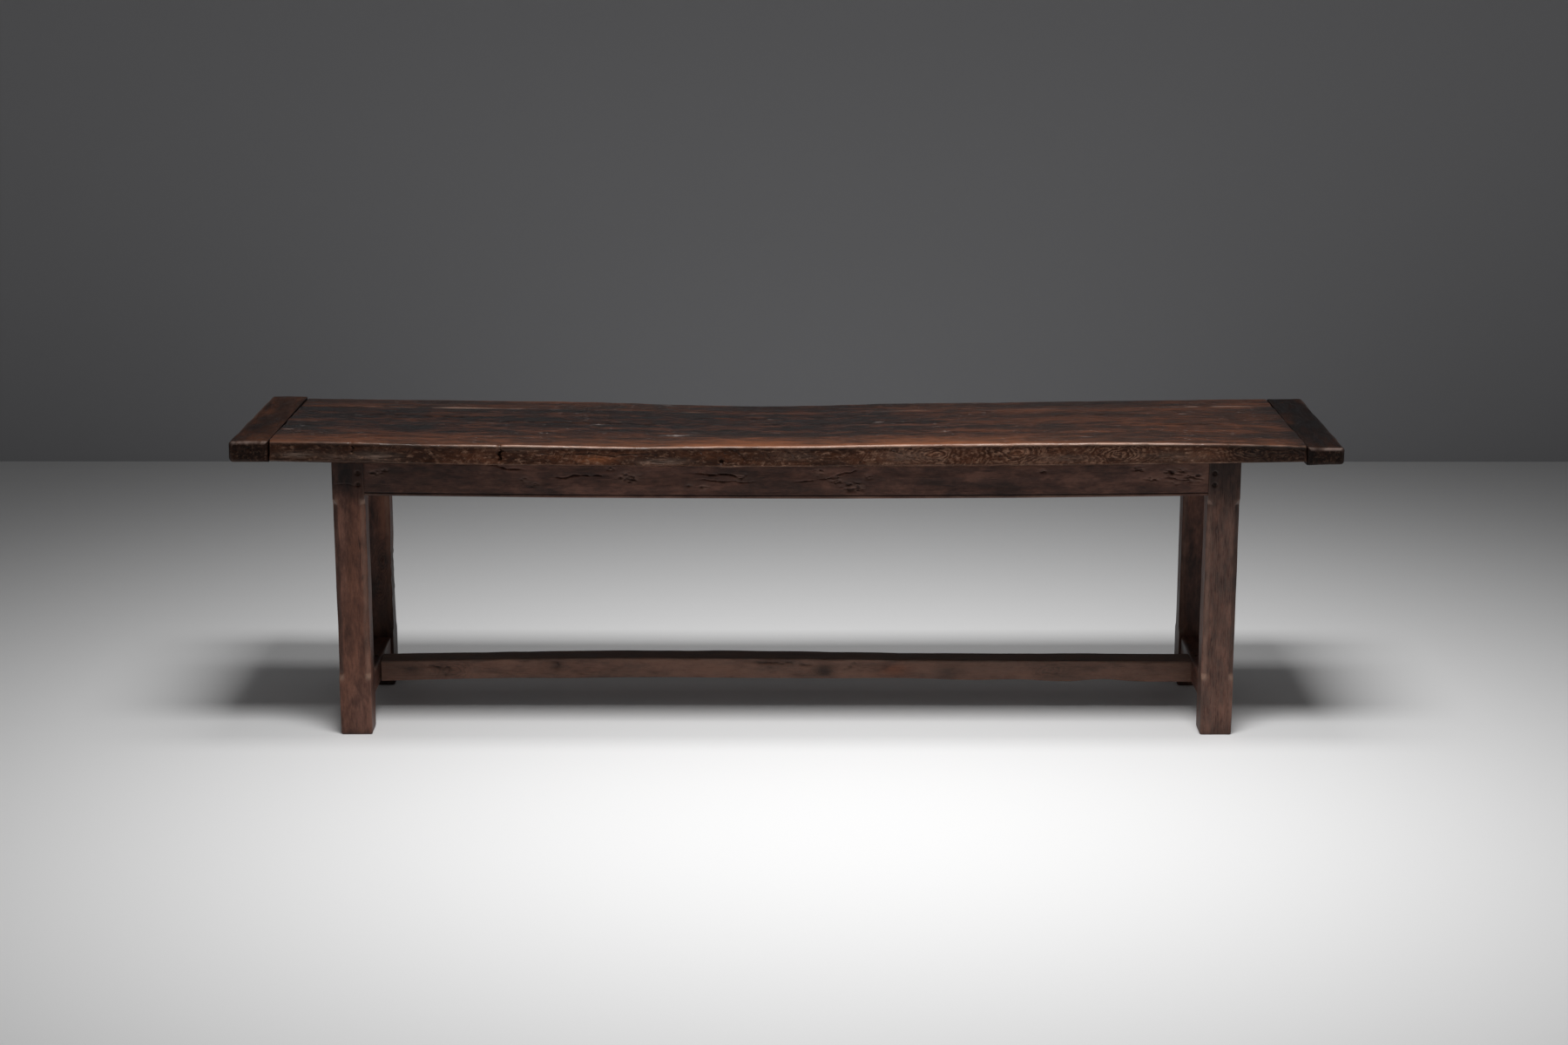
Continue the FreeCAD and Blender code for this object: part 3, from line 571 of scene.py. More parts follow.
class OldWood(Shader):
    """Dark old wood: streaks and blotches, knots, hewn faces, stains, rubbed arrises and torn places, with
    painted highlights, glints, sheen and shade.
    """

    def __init__(self, name, look):
        super().__init__(name)
        self.look = look
        self.bands = self.noise(3, 13, detail=5, roughness=0.6)
        self.streak = self.noise(16, 56, detail=5, roughness=0.65, distortion=0.5)
        self.fibre = self.noise(30, 520, detail=3, roughness=0.6)
        self.mottle = self.noise(16, 34, detail=5, roughness=0.65)
        self.dashes = self.noise(42, 125, detail=3, roughness=0.6)
        self.patches = self.noise(7, 18, detail=3)
        self.broken = self.noise(60, 130, detail=4, roughness=0.7)
        self.hewn = self.mark("hewn")
        self.light_lines, self.dark_lines = self.lines()
        self.torn = self.mark("torn") * self.fibre.spread(0.36, 0.56)
        self.wear_and_highlight = self.mark("wear_and_highlight") * self.mottle.spread(0.34, 0.54, 0.35, 1.0)
        self.set_surface(Base_Color=self.used(self.lined(self.bare())))
        self.add_gloss()

    def lines(self):
        """Light and dark lines: rings about the knots, and on hewn faces scratches, splintered fibres and
        painted glints.
        """
        knot = self.mark("knot")
        figure = self.noise(9, 17, detail=2, roughness=0.4, distortion=0.8)
        waves = knot * 46.0 + figure * 40.0 + self.mottle * 24.0 + self.broken * 9.0
        waves = waves.joined("SINE", 0.0)
        scratches = self.noise(34, 200, detail=3, roughness=0.6, distortion=1.0, turn=HEWING_TURN)
        scratches = scratches.spread(0.56, 0.66) * self.patches.spread(0.46, 0.6)
        splinters_and_glints = self.broken.spread(0.54, 0.68)
        ringed = waves.spread(-0.1, 0.9) * knot.spread(0.4, 1.0, 0.9, 0.2)
        ridges = ringed * self.broken.spread(0.4, 0.58)
        light = self.hewn * ridges.or_more(scratches).or_more(splinters_and_glints)
        shown = knot.spread(0.15, 0.85, 0.65, 0.0).or_more(self.hewn * 0.3)
        gaps = self.hewn * self.broken.spread(0.42, 0.3)
        return light, gaps.or_more(waves.spread(-0.1, -0.9) * shown)

    def bare(self):
        """The colour of the wood with its warmer places, partly painted light, but without its lines,
        rubbed and grimy places and painted highlights and shade.
        """
        tone = self.bands * 0.36 + self.streak * 0.22 + self.mottle * 0.3 + self.dashes * 0.12
        colour = self.ramp(tone, self.look.shades)
        colour = self.cover(colour, self.hewn * self.look.hewn, HEWN_BROWN)
        colour = self.cover(colour, self.hewn * self.patches.spread(0.5, 0.4, 0.0, 0.7), HEWN_DARK)
        uneven = (self.bands * 0.5 + self.streak * 0.5).spread(0.4, 0.6, 0.25, 1.0)
        colour = self.cover(colour, self.mark("warm") * uneven, self.look.warm)
        flecks = self.fibre.spread(0.56, 0.72, 0.0, 0.3) * self.streak.spread(0.44, 0.6)
        return self.cover(colour, flecks, self.look.warm)

    def lined(self, colour):
        """A colour with the lines, partly painted glints, and the dark pores drawn over it."""
        colour = self.cover(colour, self.light_lines * 0.74, HEWN_LIGHT_AND_GLINT)
        colour = self.cover(colour, self.dark_lines * 0.9, HEWN_DARK)
        return self.cover(colour, self.fibre.spread(0.42, 0.3, 0.0, 0.55), BLACK_GRIME_AND_SHADE)

    def used(self, colour):
        """A colour with torn, worn, bruised and grimy places over it, and painted highlights, sheen, glints
        and shade.
        """
        colour = self.cover(colour, self.torn, self.look.torn)
        colour = self.cover(colour, self.wear_and_highlight, self.look.worn)
        colour = self.cover(colour, self.specks().or_more(self.bruises_and_glints()), BRUISED_WAX_AND_GLINT)
        # The dirt mark is real grime and also painted shade.
        grime_and_shade = self.mark("dirt_and_shade") * self.mottle.spread(0.25, 0.6, 1.0, 0.72)
        return self.cover(colour, grime_and_shade, BLACK_GRIME_AND_SHADE)

    def specks(self):
        """Small pale flecks, partly painted glints, in some places and not on hewn faces."""
        shape = self.noise(52, 170, detail=1).spread(0.7, 0.76)
        places = self.noise(5, 9, detail=1).spread(0.46, 0.6)
        return shape * places * self.off_hewn(self.look.specks)

    def bruises_and_glints(self):
        """Scuffs and painted glints, broken into strands along the grain."""
        ragged = self.noise(40, 110, detail=3, roughness=0.6)
        strands = self.mark("scuff_and_glint") * 0.4 + ragged * 0.55 + self.fibre * 0.45
        return strands.spread(0.8, 0.9, 0.0, 0.75)

    def off_hewn(self, amount):
        """An amount that is 0 on hewn faces."""
        return self.hewn.spread(0.0, 0.3, amount, 0.0)

    def add_gloss(self):
        """The roughness, the relief and the wax."""
        look = self.look
        polishing = look.polish - sum(look.rough) / 2
        changes = self.wear_and_highlight * polishing + self.torn * 0.3 + self.light_lines * 0.15
        height = (self.fibre * 0.3 + self.streak * 0.4 + self.mottle * 0.4 + self.dashes * 0.4
                  + self.light_lines * 0.5 + self.dark_lines * -0.5)
        bump = self.node("ShaderNodeBump", {"Strength": 1.0, "Distance": look.relief, "Height": height})
        roughness = self.mottle.spread(0.34, 0.66, *look.rough) + changes
        self.set_surface(Roughness=roughness, Specular_IOR_Level=look.gloss, Normal=bump)
        if look.wax:
            waxed = self.off_hewn(look.wax) * self.bands.spread(0.38, 0.62, 1.0, 0.4)
            self.set_surface(Coat_Weight=waxed, Coat_Roughness=WAX_ROUGHNESS, Coat_Normal=bump)


WOODS = {
    "plank_wood": OldWood("waxed_plank_wood", PLANK_LOOK).material,
    "cleat_wood": OldWood("dark_cleat_wood", CLEAT_LOOK).material,
    "frame_wood": OldWood("frame_wood", FRAME_LOOK).material,
    "peg_wood": OldWood("peg_wood", PEG_LOOK).material,
}


# What every timber shares

def both(reach):
    """A corner eased as far both ways."""
    return reach, reach


def even(reach):
    """The same easing on all four corners."""
    return lambda along: [both(np.full(along.shape, reach))] * 4


def eased(lower, upper):
    """One easing on both lower corners and another on both upper ones."""
    return [both(lower)] * 2 + [both(upper)] * 2


def straight(*section):
    """The same low a, high a, low b and high b all along a timber."""
    return lambda along: section


def wobble(along, cell, seed):
    """Noise along a line, from -1 to 1."""
    return noise(along[..., None], (cell,), seed)


def weathered(timber, seed, wave=0.0008, ridges=0.0003):
    """Gives a timber the uneven faces of old wood."""
    at = timber.places()
    timber.push(wave * layered_noise(at, (0.28, 0.09, 0.09), seed, 2)
                + ridges * noise(at, (0.45, 0.012, 0.012), seed + 11))


def rubbed(timber, width, seed, share=0.62):
    """Wear along a timber's arrises, patchy, over a width; share is how much of them is worn."""
    patches = share + 0.55 * layered_noise(timber.places(), (0.12, 0.05, 0.05), seed, 2)
    return np.clip(1 - timber.from_arris / width, 0, 1) * np.clip(patches, 0, 1)


# The top

FRONT_ARRIS = smooth_curve((
    (-1.26, 0.005), (-1.08, 0.003), (-0.9, -0.0026), (-0.65, -0.005), (-0.34, -0.0096),
    (-0.16, -0.0075), (0.04, -0.0072), (0.35, -0.003), (1.13, -0.003), (1.26, -0.0074)))
BACK_ARRIS = smooth_curve((
    (-1.26, -0.0056), (-0.82, -0.011), (-0.46, -0.016), (-0.28, -0.0222), (0.04, -0.025),
    (0.27, -0.02), (0.54, -0.016), (0.9, -0.011), (1.26, -0.0064)))
FRONT_LOWER_EDGE = smooth_curve((
    (-1.26, -0.043), (-1.06, -0.0442), (-0.9, -0.0486), (-0.64, -0.053), (-0.3, -0.0572),
    (-0.13, -0.0596), (0.04, -0.0572), (0.2, -0.054), (0.6, -0.0524), (0.96, -0.0506), (1.26, -0.0486)))
SEAM = smooth_curve(((-1.26, 0.184), (0.0, 0.181), (1.26, 0.196)))


def plank_top(x, y):
    """Height of the worn top, which has sagged more along its back."""
    share = (y - TOP_FRONT) / (TOP_BACK - TOP_FRONT)
    return TOP_HEIGHT + (1 - share) * FRONT_ARRIS(x) + share * BACK_ARRIS(x)


def plank_underside(x):
    """Height of the underside, which lies on the frame and sags with it."""
    return UNDERSIDE_AT_ENDS - UNDERSIDE_SAG * (1 - (x / RIGHT_JOINT) ** 2)


def bend_to_top(timber):
    """Carries a flat plank's section over to the worn top and the sagging underside."""
    share = timber.b / PLANK_THICKNESS
    low = plank_underside(timber.along)
    timber.b = low + share * (plank_top(timber.along, timber.a) - low)


# How far right of its box each cleat's joint and outer side lie, at its front and at its back
CLEAT_JOINT_DRIFTS = {"cleat_left": (0.0, 0.0), "cleat_right": (0.008, 0.003)}
CLEAT_OUTER_DRIFTS = {"cleat_left": (-0.0045, 0.0015), "cleat_right": (0.0054, 0.002)}


def along_cleat(name, values, y):
    """A value that changes evenly from a cleat's front to its back, at a depth."""
    box = node_box(name)
    share = (y - box.y0) / (box.y1 - box.y0)
    front, back = values[name]
    return front * (1 - share) + back * share


RAGGED_DEPTH = 0.0028
RAGGED_REACH = 0.012
DRIFT_REACH = 0.1


def ragged_ends(timber, seed):
    """Wears a plank's ends back unevenly along the joints with the cleats."""
    uneven = np.clip(layered_noise(np.stack([timber.a, timber.b], -1), (0.05, 0.03), seed, 3), 0, 1)
    middle = (LEFT_JOINT + RIGHT_JOINT) / 2
    near_end = fade(np.abs(timber.along - middle), RIGHT_JOINT - RAGGED_REACH, RIGHT_JOINT - JOINT_GAP)
    drift = along_cleat("cleat_right", CLEAT_JOINT_DRIFTS, timber.a)
    drift = drift * fade(timber.along, RIGHT_JOINT - DRIFT_REACH, RIGHT_JOINT - JOINT_GAP)
    timber.along = timber.along + drift - RAGGED_DEPTH * uneven * near_end * np.sign(timber.along)


def aged_plank(timber, seed):
    """Bends a plank to the worn top and wears its faces and ends."""
    bend_to_top(timber)
    weathered(timber, seed)
    ragged_ends(timber, seed + 4)


WARM_BAND = 0.105
WARM_REACH = smooth_curve((
    (-1.26, 0.4), (-0.75, 0.5), (-0.5, 0.75), (-0.25, 0.95), (0.35, 1.0), (0.65, 0.85), (0.85, 0.5),
    (1.26, 0.4)))
TOP_CRACKS = (
    (3, 4, (-1120, 58), (-1020, 73), (-900, 68), (-740, 60)),
    (3.2, 5, (-800, 6), (-620, -2), (-450, 3), (-270, -4)),
    (2.6, 2.5, (-200, -6), (100, 4), (400, -2), (600, 6)),
    (3.2, 4, (-240, 93), (-120, 88), (-20, 94)),
    (2.8, 3, (320, -132), (400, -134), (520, -129)),
    (2.6, 3, (620, 84), (800, 91), (960, 83)),
    (2.6, 2.5, (-1200, -212), (-1050, -206), (-880, -210)),
    (2.8, 3, (860, -52), (1050, -46), (1220, -55)),
)
TOP_STAINS = (
    (-120, 60, 200, 90, 0.6), (-620, 20, 220, 70, 0.6), (-1020, 100, 160, 80, 0.65),
    (-950, -100, 130, 50, 0.45), (420, 100, 200, 50, 0.45), (100, -100, 160, 40, 0.4),
    (1120, 120, 100, 60, 0.4), (720, 20, 150, 50, 0.35), (-350, 140, 120, 40, 0.55),
)
# Pale scuffs on the top, partly bruised wax and partly painted glints
TOP_SCUFFS_AND_GLINTS = (
    (-268, -145, 70, 24, 0.92), (-475, -10, 32, 14, 0.95), (-723, 14, 16, 11, 0.9),
    (-756, -238, 16, 10, 0.9), (-1084, 69, 36, 11, 0.8), (-991, -55, 20, 13, 0.85),
    (-1235, -138, 22, 12, 0.9), (-19, -111, 62, 8, 0.9), (-46, 89, 40, 9, 0.95),
    (-13, 62, 22, 16, 0.85), (-119, 40, 22, 16, 0.85), (390, -122, 54, 9, 0.85),
    (737, -209, 26, 12, 0.85), (829, -60, 22, 9, 0.8), (1009, 94, 26, 11, 0.85),
    (580, -61, 20, 12, 0.85), (235, 21, 28, 18, 0.8),
)
# How strongly the front arris is rubbed along its length; the rub is pale enough to also paint the arris's
# highlight
ARRIS_RUB_AND_HIGHLIGHT = smooth_curve((
    (-1.26, 0.18), (-1.05, 0.28), (-0.85, 0.5), (-0.65, 0.9), (-0.2, 0.95), (0.1, 0.85), (0.6, 1.0),
    (1.05, 0.9), (1.14, 0.6), (1.26, 0.55)))
# Stretches of the seam that are rubbed pale, partly painting highlights on its edges
SEAM_RUBS_AND_HIGHLIGHTS = ((-870, 170, 1.0), (-250, 40, 0.5), (285, 60, 0.9), (1125, 110, 1.0))
FRONT_SPLITS = (
    (4.2, 12, (-699, 752), (-694, 738), (-701, 727), (-695, 715), (-700, 702)),
    (3.2, 6, (-1058, 757), (-1053, 742), (-1056, 728)),
    (2, 3, (-663, 728.5), (-500, 727), (-360, 726.5), (-270, 726)),
)
# Chops in the front edge; their pale lines are painted glints
FRONT_CHOPS = (
    (2.2, 2, (-210, 738), (-204, 722), (-210, 708)),
    (2.6, 3, (-135, 742), (-112, 726), (-98, 708)),
    (2.4, 3, (-60, 742), (-46, 728), (-36, 714)),
    (2.2, 2, (-50, 736), (-62, 724), (-66, 714)),
    (2.6, 3, (-8, 742), (10, 726), (26, 708)),
    (2.6, 3, (232, 746), (278, 728), (322, 708)),
    (2.2, 2, (842, 722), (872, 735), (905, 741)),
)
FRONT_NOTCHES = ((-697, 6, 1.3), (-1055, 5, 0.8))
FRONT_TORN = (
    (-1100, 720, 35, 10, 0.7), (-1005, 722, 60, 11, 1.0), (-1185, 726, 50, 8, 1.0),
    (-655, 742, 55, 8, 0.6), (-300, 708, 60, 8, 1.0), (20, 722, 60, 10, 0.5), (290, 722, 60, 14, 0.6),
    (680, 718, 80, 10, 0.5), (950, 722, 90, 12, 0.5),
)
FRONT_KNOTS = ((354, 726, 52), (566, 732, 60), (803, 727, 55), (1125, 736, 45), (1215, 722, 50))
FRONT_BORED_HOLE = ((-158, 709, 6, 6, 1.0),)
FRONT_HOLLOW = ((-105, 726, 125, 22, 0.6),)
ORANGE_FACETS = (
    (-462, 716, 48, 11, 1.0), (-130, 724, 110, 16, 0.45), (354, 728, 16, 8, 0.5),
    (566, 732, 22, 9, 0.8), (1020, 728, 50, 14, 0.4),
)
FRONT_SLANT = 0.45
BROAD_SCOOP_DEPTH = 0.0032
NARROW_SCOOP_DEPTH = 0.0012
FRONT_TORN_DEPTH = 0.0025
BORED_HOLE_DEPTH = 0.009
DENT_DEPTH = 0.002
SCUFF_DEPTH = 0.0006


def seam_rub_and_highlight(x, strength, seed):
    """Patchy worn places and painted highlights along the seam between the planks."""
    return strength * stretches(x, SEAM_RUBS_AND_HIGHLIGHTS) * fade(wobble(x, 0.035, seed), -0.2, 0.3)


def front_plank_timber():
    """The wide front plank before its front edge is hewn and its top is cracked."""
    stations = evenly(LEFT_JOINT + JOINT_GAP, RIGHT_JOINT - JOINT_GAP, 0.005, (-0.712, -0.684, 0.002),
                      (-1.066, -1.044, 0.002), (-0.215, 0.03, 0.003))

    def sides(x):
        return TOP_FRONT, SEAM(x) - JOINT_GAP, 0.0, PLANK_THICKNESS

    def cuts(x):
        wane = np.maximum(TOP_HEIGHT + FRONT_LOWER_EDGE(x) - plank_underside(x), 0.002)
        nicks = 1 + 0.3 * wobble(x, 0.05, 5) + 0.1 * wobble(x, 0.014, 6) + stretches(x, FRONT_NOTCHES)
        worn = (0.0065 * nicks, 0.006 * nicks)
        return [(np.full(x.shape, 0.014), wane), both(0.002), both(0.0016), worn]

    across = evenly(TOP_FRONT, SEAM(0.0), 0.0068, (TOP_FRONT, TOP_FRONT + 0.02, 0.0028))
    flats = (row(0.48, 0.024), row(PLANK_THICKNESS, 0.012), 1 - shares(across)[::-1],
             row(PLANK_THICKNESS, 0.0024))
    timber = Timber(stations, sides, cuts, flats, rounding=0.0018, steps=6)
    aged_plank(timber, 21)
    return timber


def front_plank_piece():
    """The wide front plank, with its hewn and knotty front edge."""
    timber = front_plank_timber()
    front, top = timber.facing("a", -1), timber.facing("b", 1)
    x, y, z = timber.along, timber.a, timber.b

    slanted = np.stack([x + FRONT_SLANT * (z - TOP_HEIGHT), z], -1)
    below_arris = fade(TOP_HEIGHT + FRONT_ARRIS(x) - z, 0.003, 0.009)
    hewn = BROAD_SCOOP_DEPTH * (1 - scoops(slanted, (0.055, 0.03), 31))
    hewn += NARROW_SCOOP_DEPTH * (1 - scoops(slanted, (0.021, 0.014), 37))
    split_depth, split_dark = cracks_in(x, z, FRONT_SPLITS)
    chop_depth, chop_glints = cracks_in(x, z, FRONT_CHOPS)
    torn = spots(x, z, FRONT_TORN)
    torn_depth = FRONT_TORN_DEPTH * torn * (0.6 + noise(timber.places(), (0.02, 0.006, 0.004), 8))
    hole = spots(x, z, FRONT_BORED_HOLE)
    crack_depth, crack_dark = cracks_in(x, y, TOP_CRACKS)
    dents = np.clip(layered_noise(np.stack([x, y], -1), (0.045, 0.02), 51, 2) - 0.75, 0, 1)
    scuffs_and_glints = spots(x, y, TOP_SCUFFS_AND_GLINTS)
    front_depth = below_arris * hewn + split_depth + chop_depth + torn_depth + BORED_HOLE_DEPTH * hole
    top_depth = crack_depth + DENT_DEPTH * dents + SCUFF_DEPTH * scuffs_and_glints
    timber.push(-front * front_depth - top * top_depth)

    right_end = 0.7 * fade(x + 0.02 * wobble(y, 0.05, 29), RIGHT_JOINT - 0.06, RIGHT_JOINT)
    dull = most(0.35 * fade(x, -0.7, -1.1), 0.85 * fade(x, 1.02, 1.15)) * (1 - torn)
    band = near(y, TOP_FRONT, WARM_BAND) * WARM_REACH(x)
    redder = 0.2 * fade(x, 0.1, 0.8)
    near_front = fade(y, TOP_FRONT + 0.06, TOP_FRONT + 0.03)
    upper = fade(z, TOP_HEIGHT - 0.03, TOP_HEIGHT - 0.018)
    # The front arris and the lower arris are rubbed pale, partly real wear and partly painted highlight;
    # the seam's rub is partly painted highlight too.
    front_rub_and_highlight = near_front * (most(front, top) * upper * ARRIS_RUB_AND_HIGHLIGHT(x) + 0.3 * (1 - upper))
    back_rub = (1 - near_front) * top * seam_rub_and_highlight(x, 0.8, 33)
    top_dirt = most(spots(x, y, TOP_STAINS), right_end, crack_dark)
    front_dirt = most(split_dark, hole, dull, spots(x, z, FRONT_HOLLOW))
    marks = {
        "warm": most(top * most(band, redder), front * most(0.1, spots(x, z, ORANGE_FACETS))),
        "wear_and_highlight": rubbed(timber, 0.0058, 61, 0.95) * (front_rub_and_highlight + back_rub),
        "dirt_and_shade": most(top * top_dirt, front * front_dirt),
        "torn": front * torn,
        "hewn": most(front * below_arris, timber.facing("b", -1)),
        "scuff_and_glint": most(top * scuffs_and_glints, front * chop_glints),
        "knot": 1 - (1 - knot_distance(x, z, FRONT_KNOTS)) * front,
    }
    make_piece("top_plank_front", "x", [(timber, marks)], "plank_wood")


BACK_STAINS = (
    (0, 260, 400, 80, 0.45), (550, 250, 300, 30, 0.5), (-1000, 240, 400, 50, 0.5),
    (950, 270, 300, 50, 0.5),
)
# Pale scuffs on the back plank, partly painted glints
BACK_SCUFFS_AND_GLINTS = (
    (-315, 278, 50, 10, 0.85), (-160, 285, 50, 7, 0.5), (-600, 230, 50, 6, 0.4), (350, 240, 30, 5, 0.4),
)
BACK_SLANT = 0.4
BACK_SCOOP_DEPTH = 0.0028
BACK_SCUFF_DEPTH = 0.001


def back_plank_piece():
    """The narrow back plank."""
    stations = evenly(LEFT_JOINT + JOINT_GAP, RIGHT_JOINT - JOINT_GAP, 0.007)

    def sides(x):
        return SEAM(x) + JOINT_GAP, TOP_BACK, 0.0, PLANK_THICKNESS

    def cuts(x):
        nicks = 1 + 0.5 * wobble(x, 0.05, 15)
        return [both(0.002), (0.008, 0.006), (0.007 * nicks, 0.006 * nicks), both(0.0016)]

    flats = (row(0.11, 0.02), row(PLANK_THICKNESS, 0.004), row(0.11, 0.005), row(PLANK_THICKNESS, 0.012))
    timber = Timber(stations, sides, cuts, flats, rounding=0.0018)
    aged_plank(timber, 23)
    back, top = timber.facing("a", 1), timber.facing("b", 1)
    x, y, z = timber.along, timber.a, timber.b
    hewn = 1 - scoops(np.stack([x - BACK_SLANT * (z - TOP_HEIGHT), z], -1), (0.06, 0.032), 33)
    scuffs_and_glints = spots(x, y, BACK_SCUFFS_AND_GLINTS)
    timber.push(-back * BACK_SCOOP_DEPTH * hewn - top * BACK_SCUFF_DEPTH * scuffs_and_glints)
    near_back = fade(y, TOP_BACK - 0.06, TOP_BACK - 0.03)
    back_rub = 0.6 * near_back * most(back, top)
    # Along the seam the rub is partly painted highlight.
    front_rub_and_highlight = (1 - near_back) * top * seam_rub_and_highlight(x, 0.5, 35)
    marks = {
        "warm": 0.15 * top * most(fade(x, 0.1, -0.5), fade(x, 0.1, 0.4)),
        "wear_and_highlight": rubbed(timber, 0.009, 63) * (back_rub + front_rub_and_highlight),
        "dirt_and_shade": top * spots(x, y, BACK_STAINS),
        "hewn": most(back, timber.facing("b", -1)),
        "scuff_and_glint": top * scuffs_and_glints,
    }
    make_piece("top_plank_back", "x", [(timber, marks)], "plank_wood")


TONGUE = Box(-0.045, 0.045, node_box("plank_tongues").y0, node_box("plank_tongues").y1, -0.005, 0.005)
TONGUE_PLACES = (-0.93, -0.31, 0.31, 0.93)


def tongues_piece():
    """The loose tongues hidden in the seam between the planks."""
    flats = (shares(evenly(TONGUE.y0, TONGUE.y1, 0.011)), (0.5,)) * 2
    tongues = []
    for place in TONGUE_PLACES:
        middle = plank_underside(place) + PLANK_THICKNESS / 2
        stations = evenly(place + TONGUE.x0, place + TONGUE.x1, 0.01)
        section = straight(TONGUE.y0, TONGUE.y1, middle + TONGUE.z0, middle + TONGUE.z1)
        timber = Timber(stations, section, even(0.001), flats, rounding=0.001, steps=2)
        tongues.append((timber, {"wear_and_highlight": 0.3 * rubbed(timber, 0.003, 67)}))
    make_piece("plank_tongues", "x", tongues, "peg_wood")


# How much higher than its box each cleat lies, at its front and at its back
CLEAT_LIFTS = {"cleat_left": (0.0045, -0.001), "cleat_right": (-0.01, -0.005)}
# How much thinner each cleat is at its front
CLEAT_THINS = {"cleat_left": -0.0045, "cleat_right": 0.0055}
# How strongly the painted glints along each cleat's front arris show, and how long they are
CLEAT_GLINTS = {"cleat_left": (0.8, 0.01), "cleat_right": (1.0, 0.034)}
CLEAT_END_CRACKS = (
    (1.8, 2, (-1305, 752), (-1312, 738), (-1306, 728), (-1314, 716)),
    (1.6, 2, (-1344, 742), (-1326, 736), (-1310, 737)),
    (1.6, 2, (-1310, 736), (-1290, 744), (-1274, 741)),
    (1.6, 2, (-1336, 720), (-1320, 727), (-1309, 730)),
)
CLEAT_SCOOP_DEPTH = 0.0022


def cleat_timber(name, joint, outer, seed):
    """A cleat across the ends of the planks, from the joint to its outer side."""
    box = node_box(name)
    stations = evenly(box.y0, box.y1, 0.006, (box.y0, box.y0 + 0.02, 0.003))

    def sides(y):
        lift = along_cleat(name, CLEAT_LIFTS, y)
        thin = CLEAT_THINS[name] * fade(y, box.y0 + 0.12, box.y0)
        inner_side = joint + along_cleat(name, CLEAT_JOINT_DRIFTS, y)
        outer_side = outer + along_cleat(name, CLEAT_OUTER_DRIFTS, y)
        low_a, high_a = np.minimum(inner_side, outer_side), np.maximum(inner_side, outer_side)
        return low_a, high_a, box.z0 + lift + thin, box.z1 + lift

    def cuts(y):
        uneven = 1 + 0.35 * wobble(y, 0.06, seed)
        worn, lower, tight = both(0.008 * uneven), both(0.009 * uneven), both(0.002)
        return [lower, tight, tight, worn] if outer < joint else [tight, lower, worn, tight]

    flats = (row(0.09, 0.008), row(0.05, 0.004), row(0.09, 0.004), row(0.05, 0.004))
    timber = Timber(stations, sides, cuts, flats, rounding=0.0095, caps=12, steps=5, free_ends=True)
    weathered(timber, seed, wave=0.0014)
    return timber


def cleat_piece(name, joint, outer, seed, warmth, darkness, cracks=()):
    """A cleat with rough ends, a grimy top and painted glints along its front arris."""
    timber = cleat_timber(name, joint, outer, seed)
    x, y, z = timber.a, timber.along, timber.b
    end, front_end, top = np.abs(timber.out_along), timber.facing("along", -1), timber.facing("b", 1)
    split_depth, split_dark = cracks_in(x, z, cracks)
    rough = 1 - scoops(np.stack([x, z], -1), (0.03, 0.022), 41)
    timber.push(-front_end * split_depth - CLEAT_SCOOP_DEPTH * end * rough)
    from_joint = np.abs(x - joint - along_cleat(name, CLEAT_JOINT_DRIFTS, y))
    strength, length = CLEAT_GLINTS[name]
    # Painted glints: the top of the rounded front end is painted pale where it would catch the light.
    glints = strength * (2 * front_end * top) ** 4 * fade(wobble(x, length, seed + 9), -0.9, 0.1)
    patches = fade(layered_noise(timber.places(), (0.14, 0.05, 0.05), seed + 5, 2), 0.0, 0.7)
    grimy = (1 - glints) * darkness + (0.6 - darkness) * patches
    marks = {
        "warm": top * warmth * near(from_joint, 0, 0.06),
        "wear_and_highlight": most(0.4 * rubbed(timber, 0.01, seed) * fade(from_joint, 0.012, 0.03), glints),
        "dirt_and_shade": most(front_end * split_dark, 0.7 * near(from_joint, 0, 0.003), grimy, 0.55 * end),
        "hewn": end,
    }
    make_piece(name, "y", [(timber, marks)], "cleat_wood")


# The frame

PEG_RADIUS = 0.005
APRON_PEGS = node_box("apron_pegs")
END_RAIL_PEGS = node_box("end_rail_pegs")
END_STRETCHER_PEGS = node_box("end_stretcher_pegs")
APRON_PEG_X = APRON_PEGS.x1 - PEG_RADIUS
END_PEG_Y = END_RAIL_PEGS.y1 - PEG_RADIUS
RAIL_PEG_HEIGHTS = (APRON_PEGS.z0 + PEG_RADIUS, APRON_PEGS.z1 - PEG_RADIUS)
STRETCHER_PEG_HEIGHT = (END_STRETCHER_PEGS.z0 + END_STRETCHER_PEGS.z1) / 2
PEG_HOLE = 0.0062
PIT_DEPTH = 0.0035
BURR_DEPTH = 0.006

CHAMFER = 0.013
CHAMFER_LOW = 0.158
CHAMFER_HIGH = 0.591
CHAMFER_RUN = 0.014
LEG_ARRIS = 0.0025
FOOT_EASING = 0.004
FOOT_HEIGHT = 0.07
# Stretches of a leg with closer points, about its chamfer stops and its pegs
LEG_DETAILS = ((CHAMFER_LOW - 0.02, CHAMFER_LOW + 0.02), (CHAMFER_HIGH - 0.02, CHAMFER_HIGH + 0.02),
               (0.628, 0.685), (STRETCHER_PEG_HEIGHT - 0.012, STRETCHER_PEG_HEIGHT + 0.012))


def chamfered(z):
    """How fully a leg is chamfered at a height, from 0 to 1."""
    rising = np.clip((z - CHAMFER_LOW + CHAMFER_RUN) / CHAMFER_RUN, 0, 1)
    falling = np.clip((CHAMFER_HIGH + CHAMFER_RUN - z) / CHAMFER_RUN, 0, 1)
    return np.minimum(rising, falling)


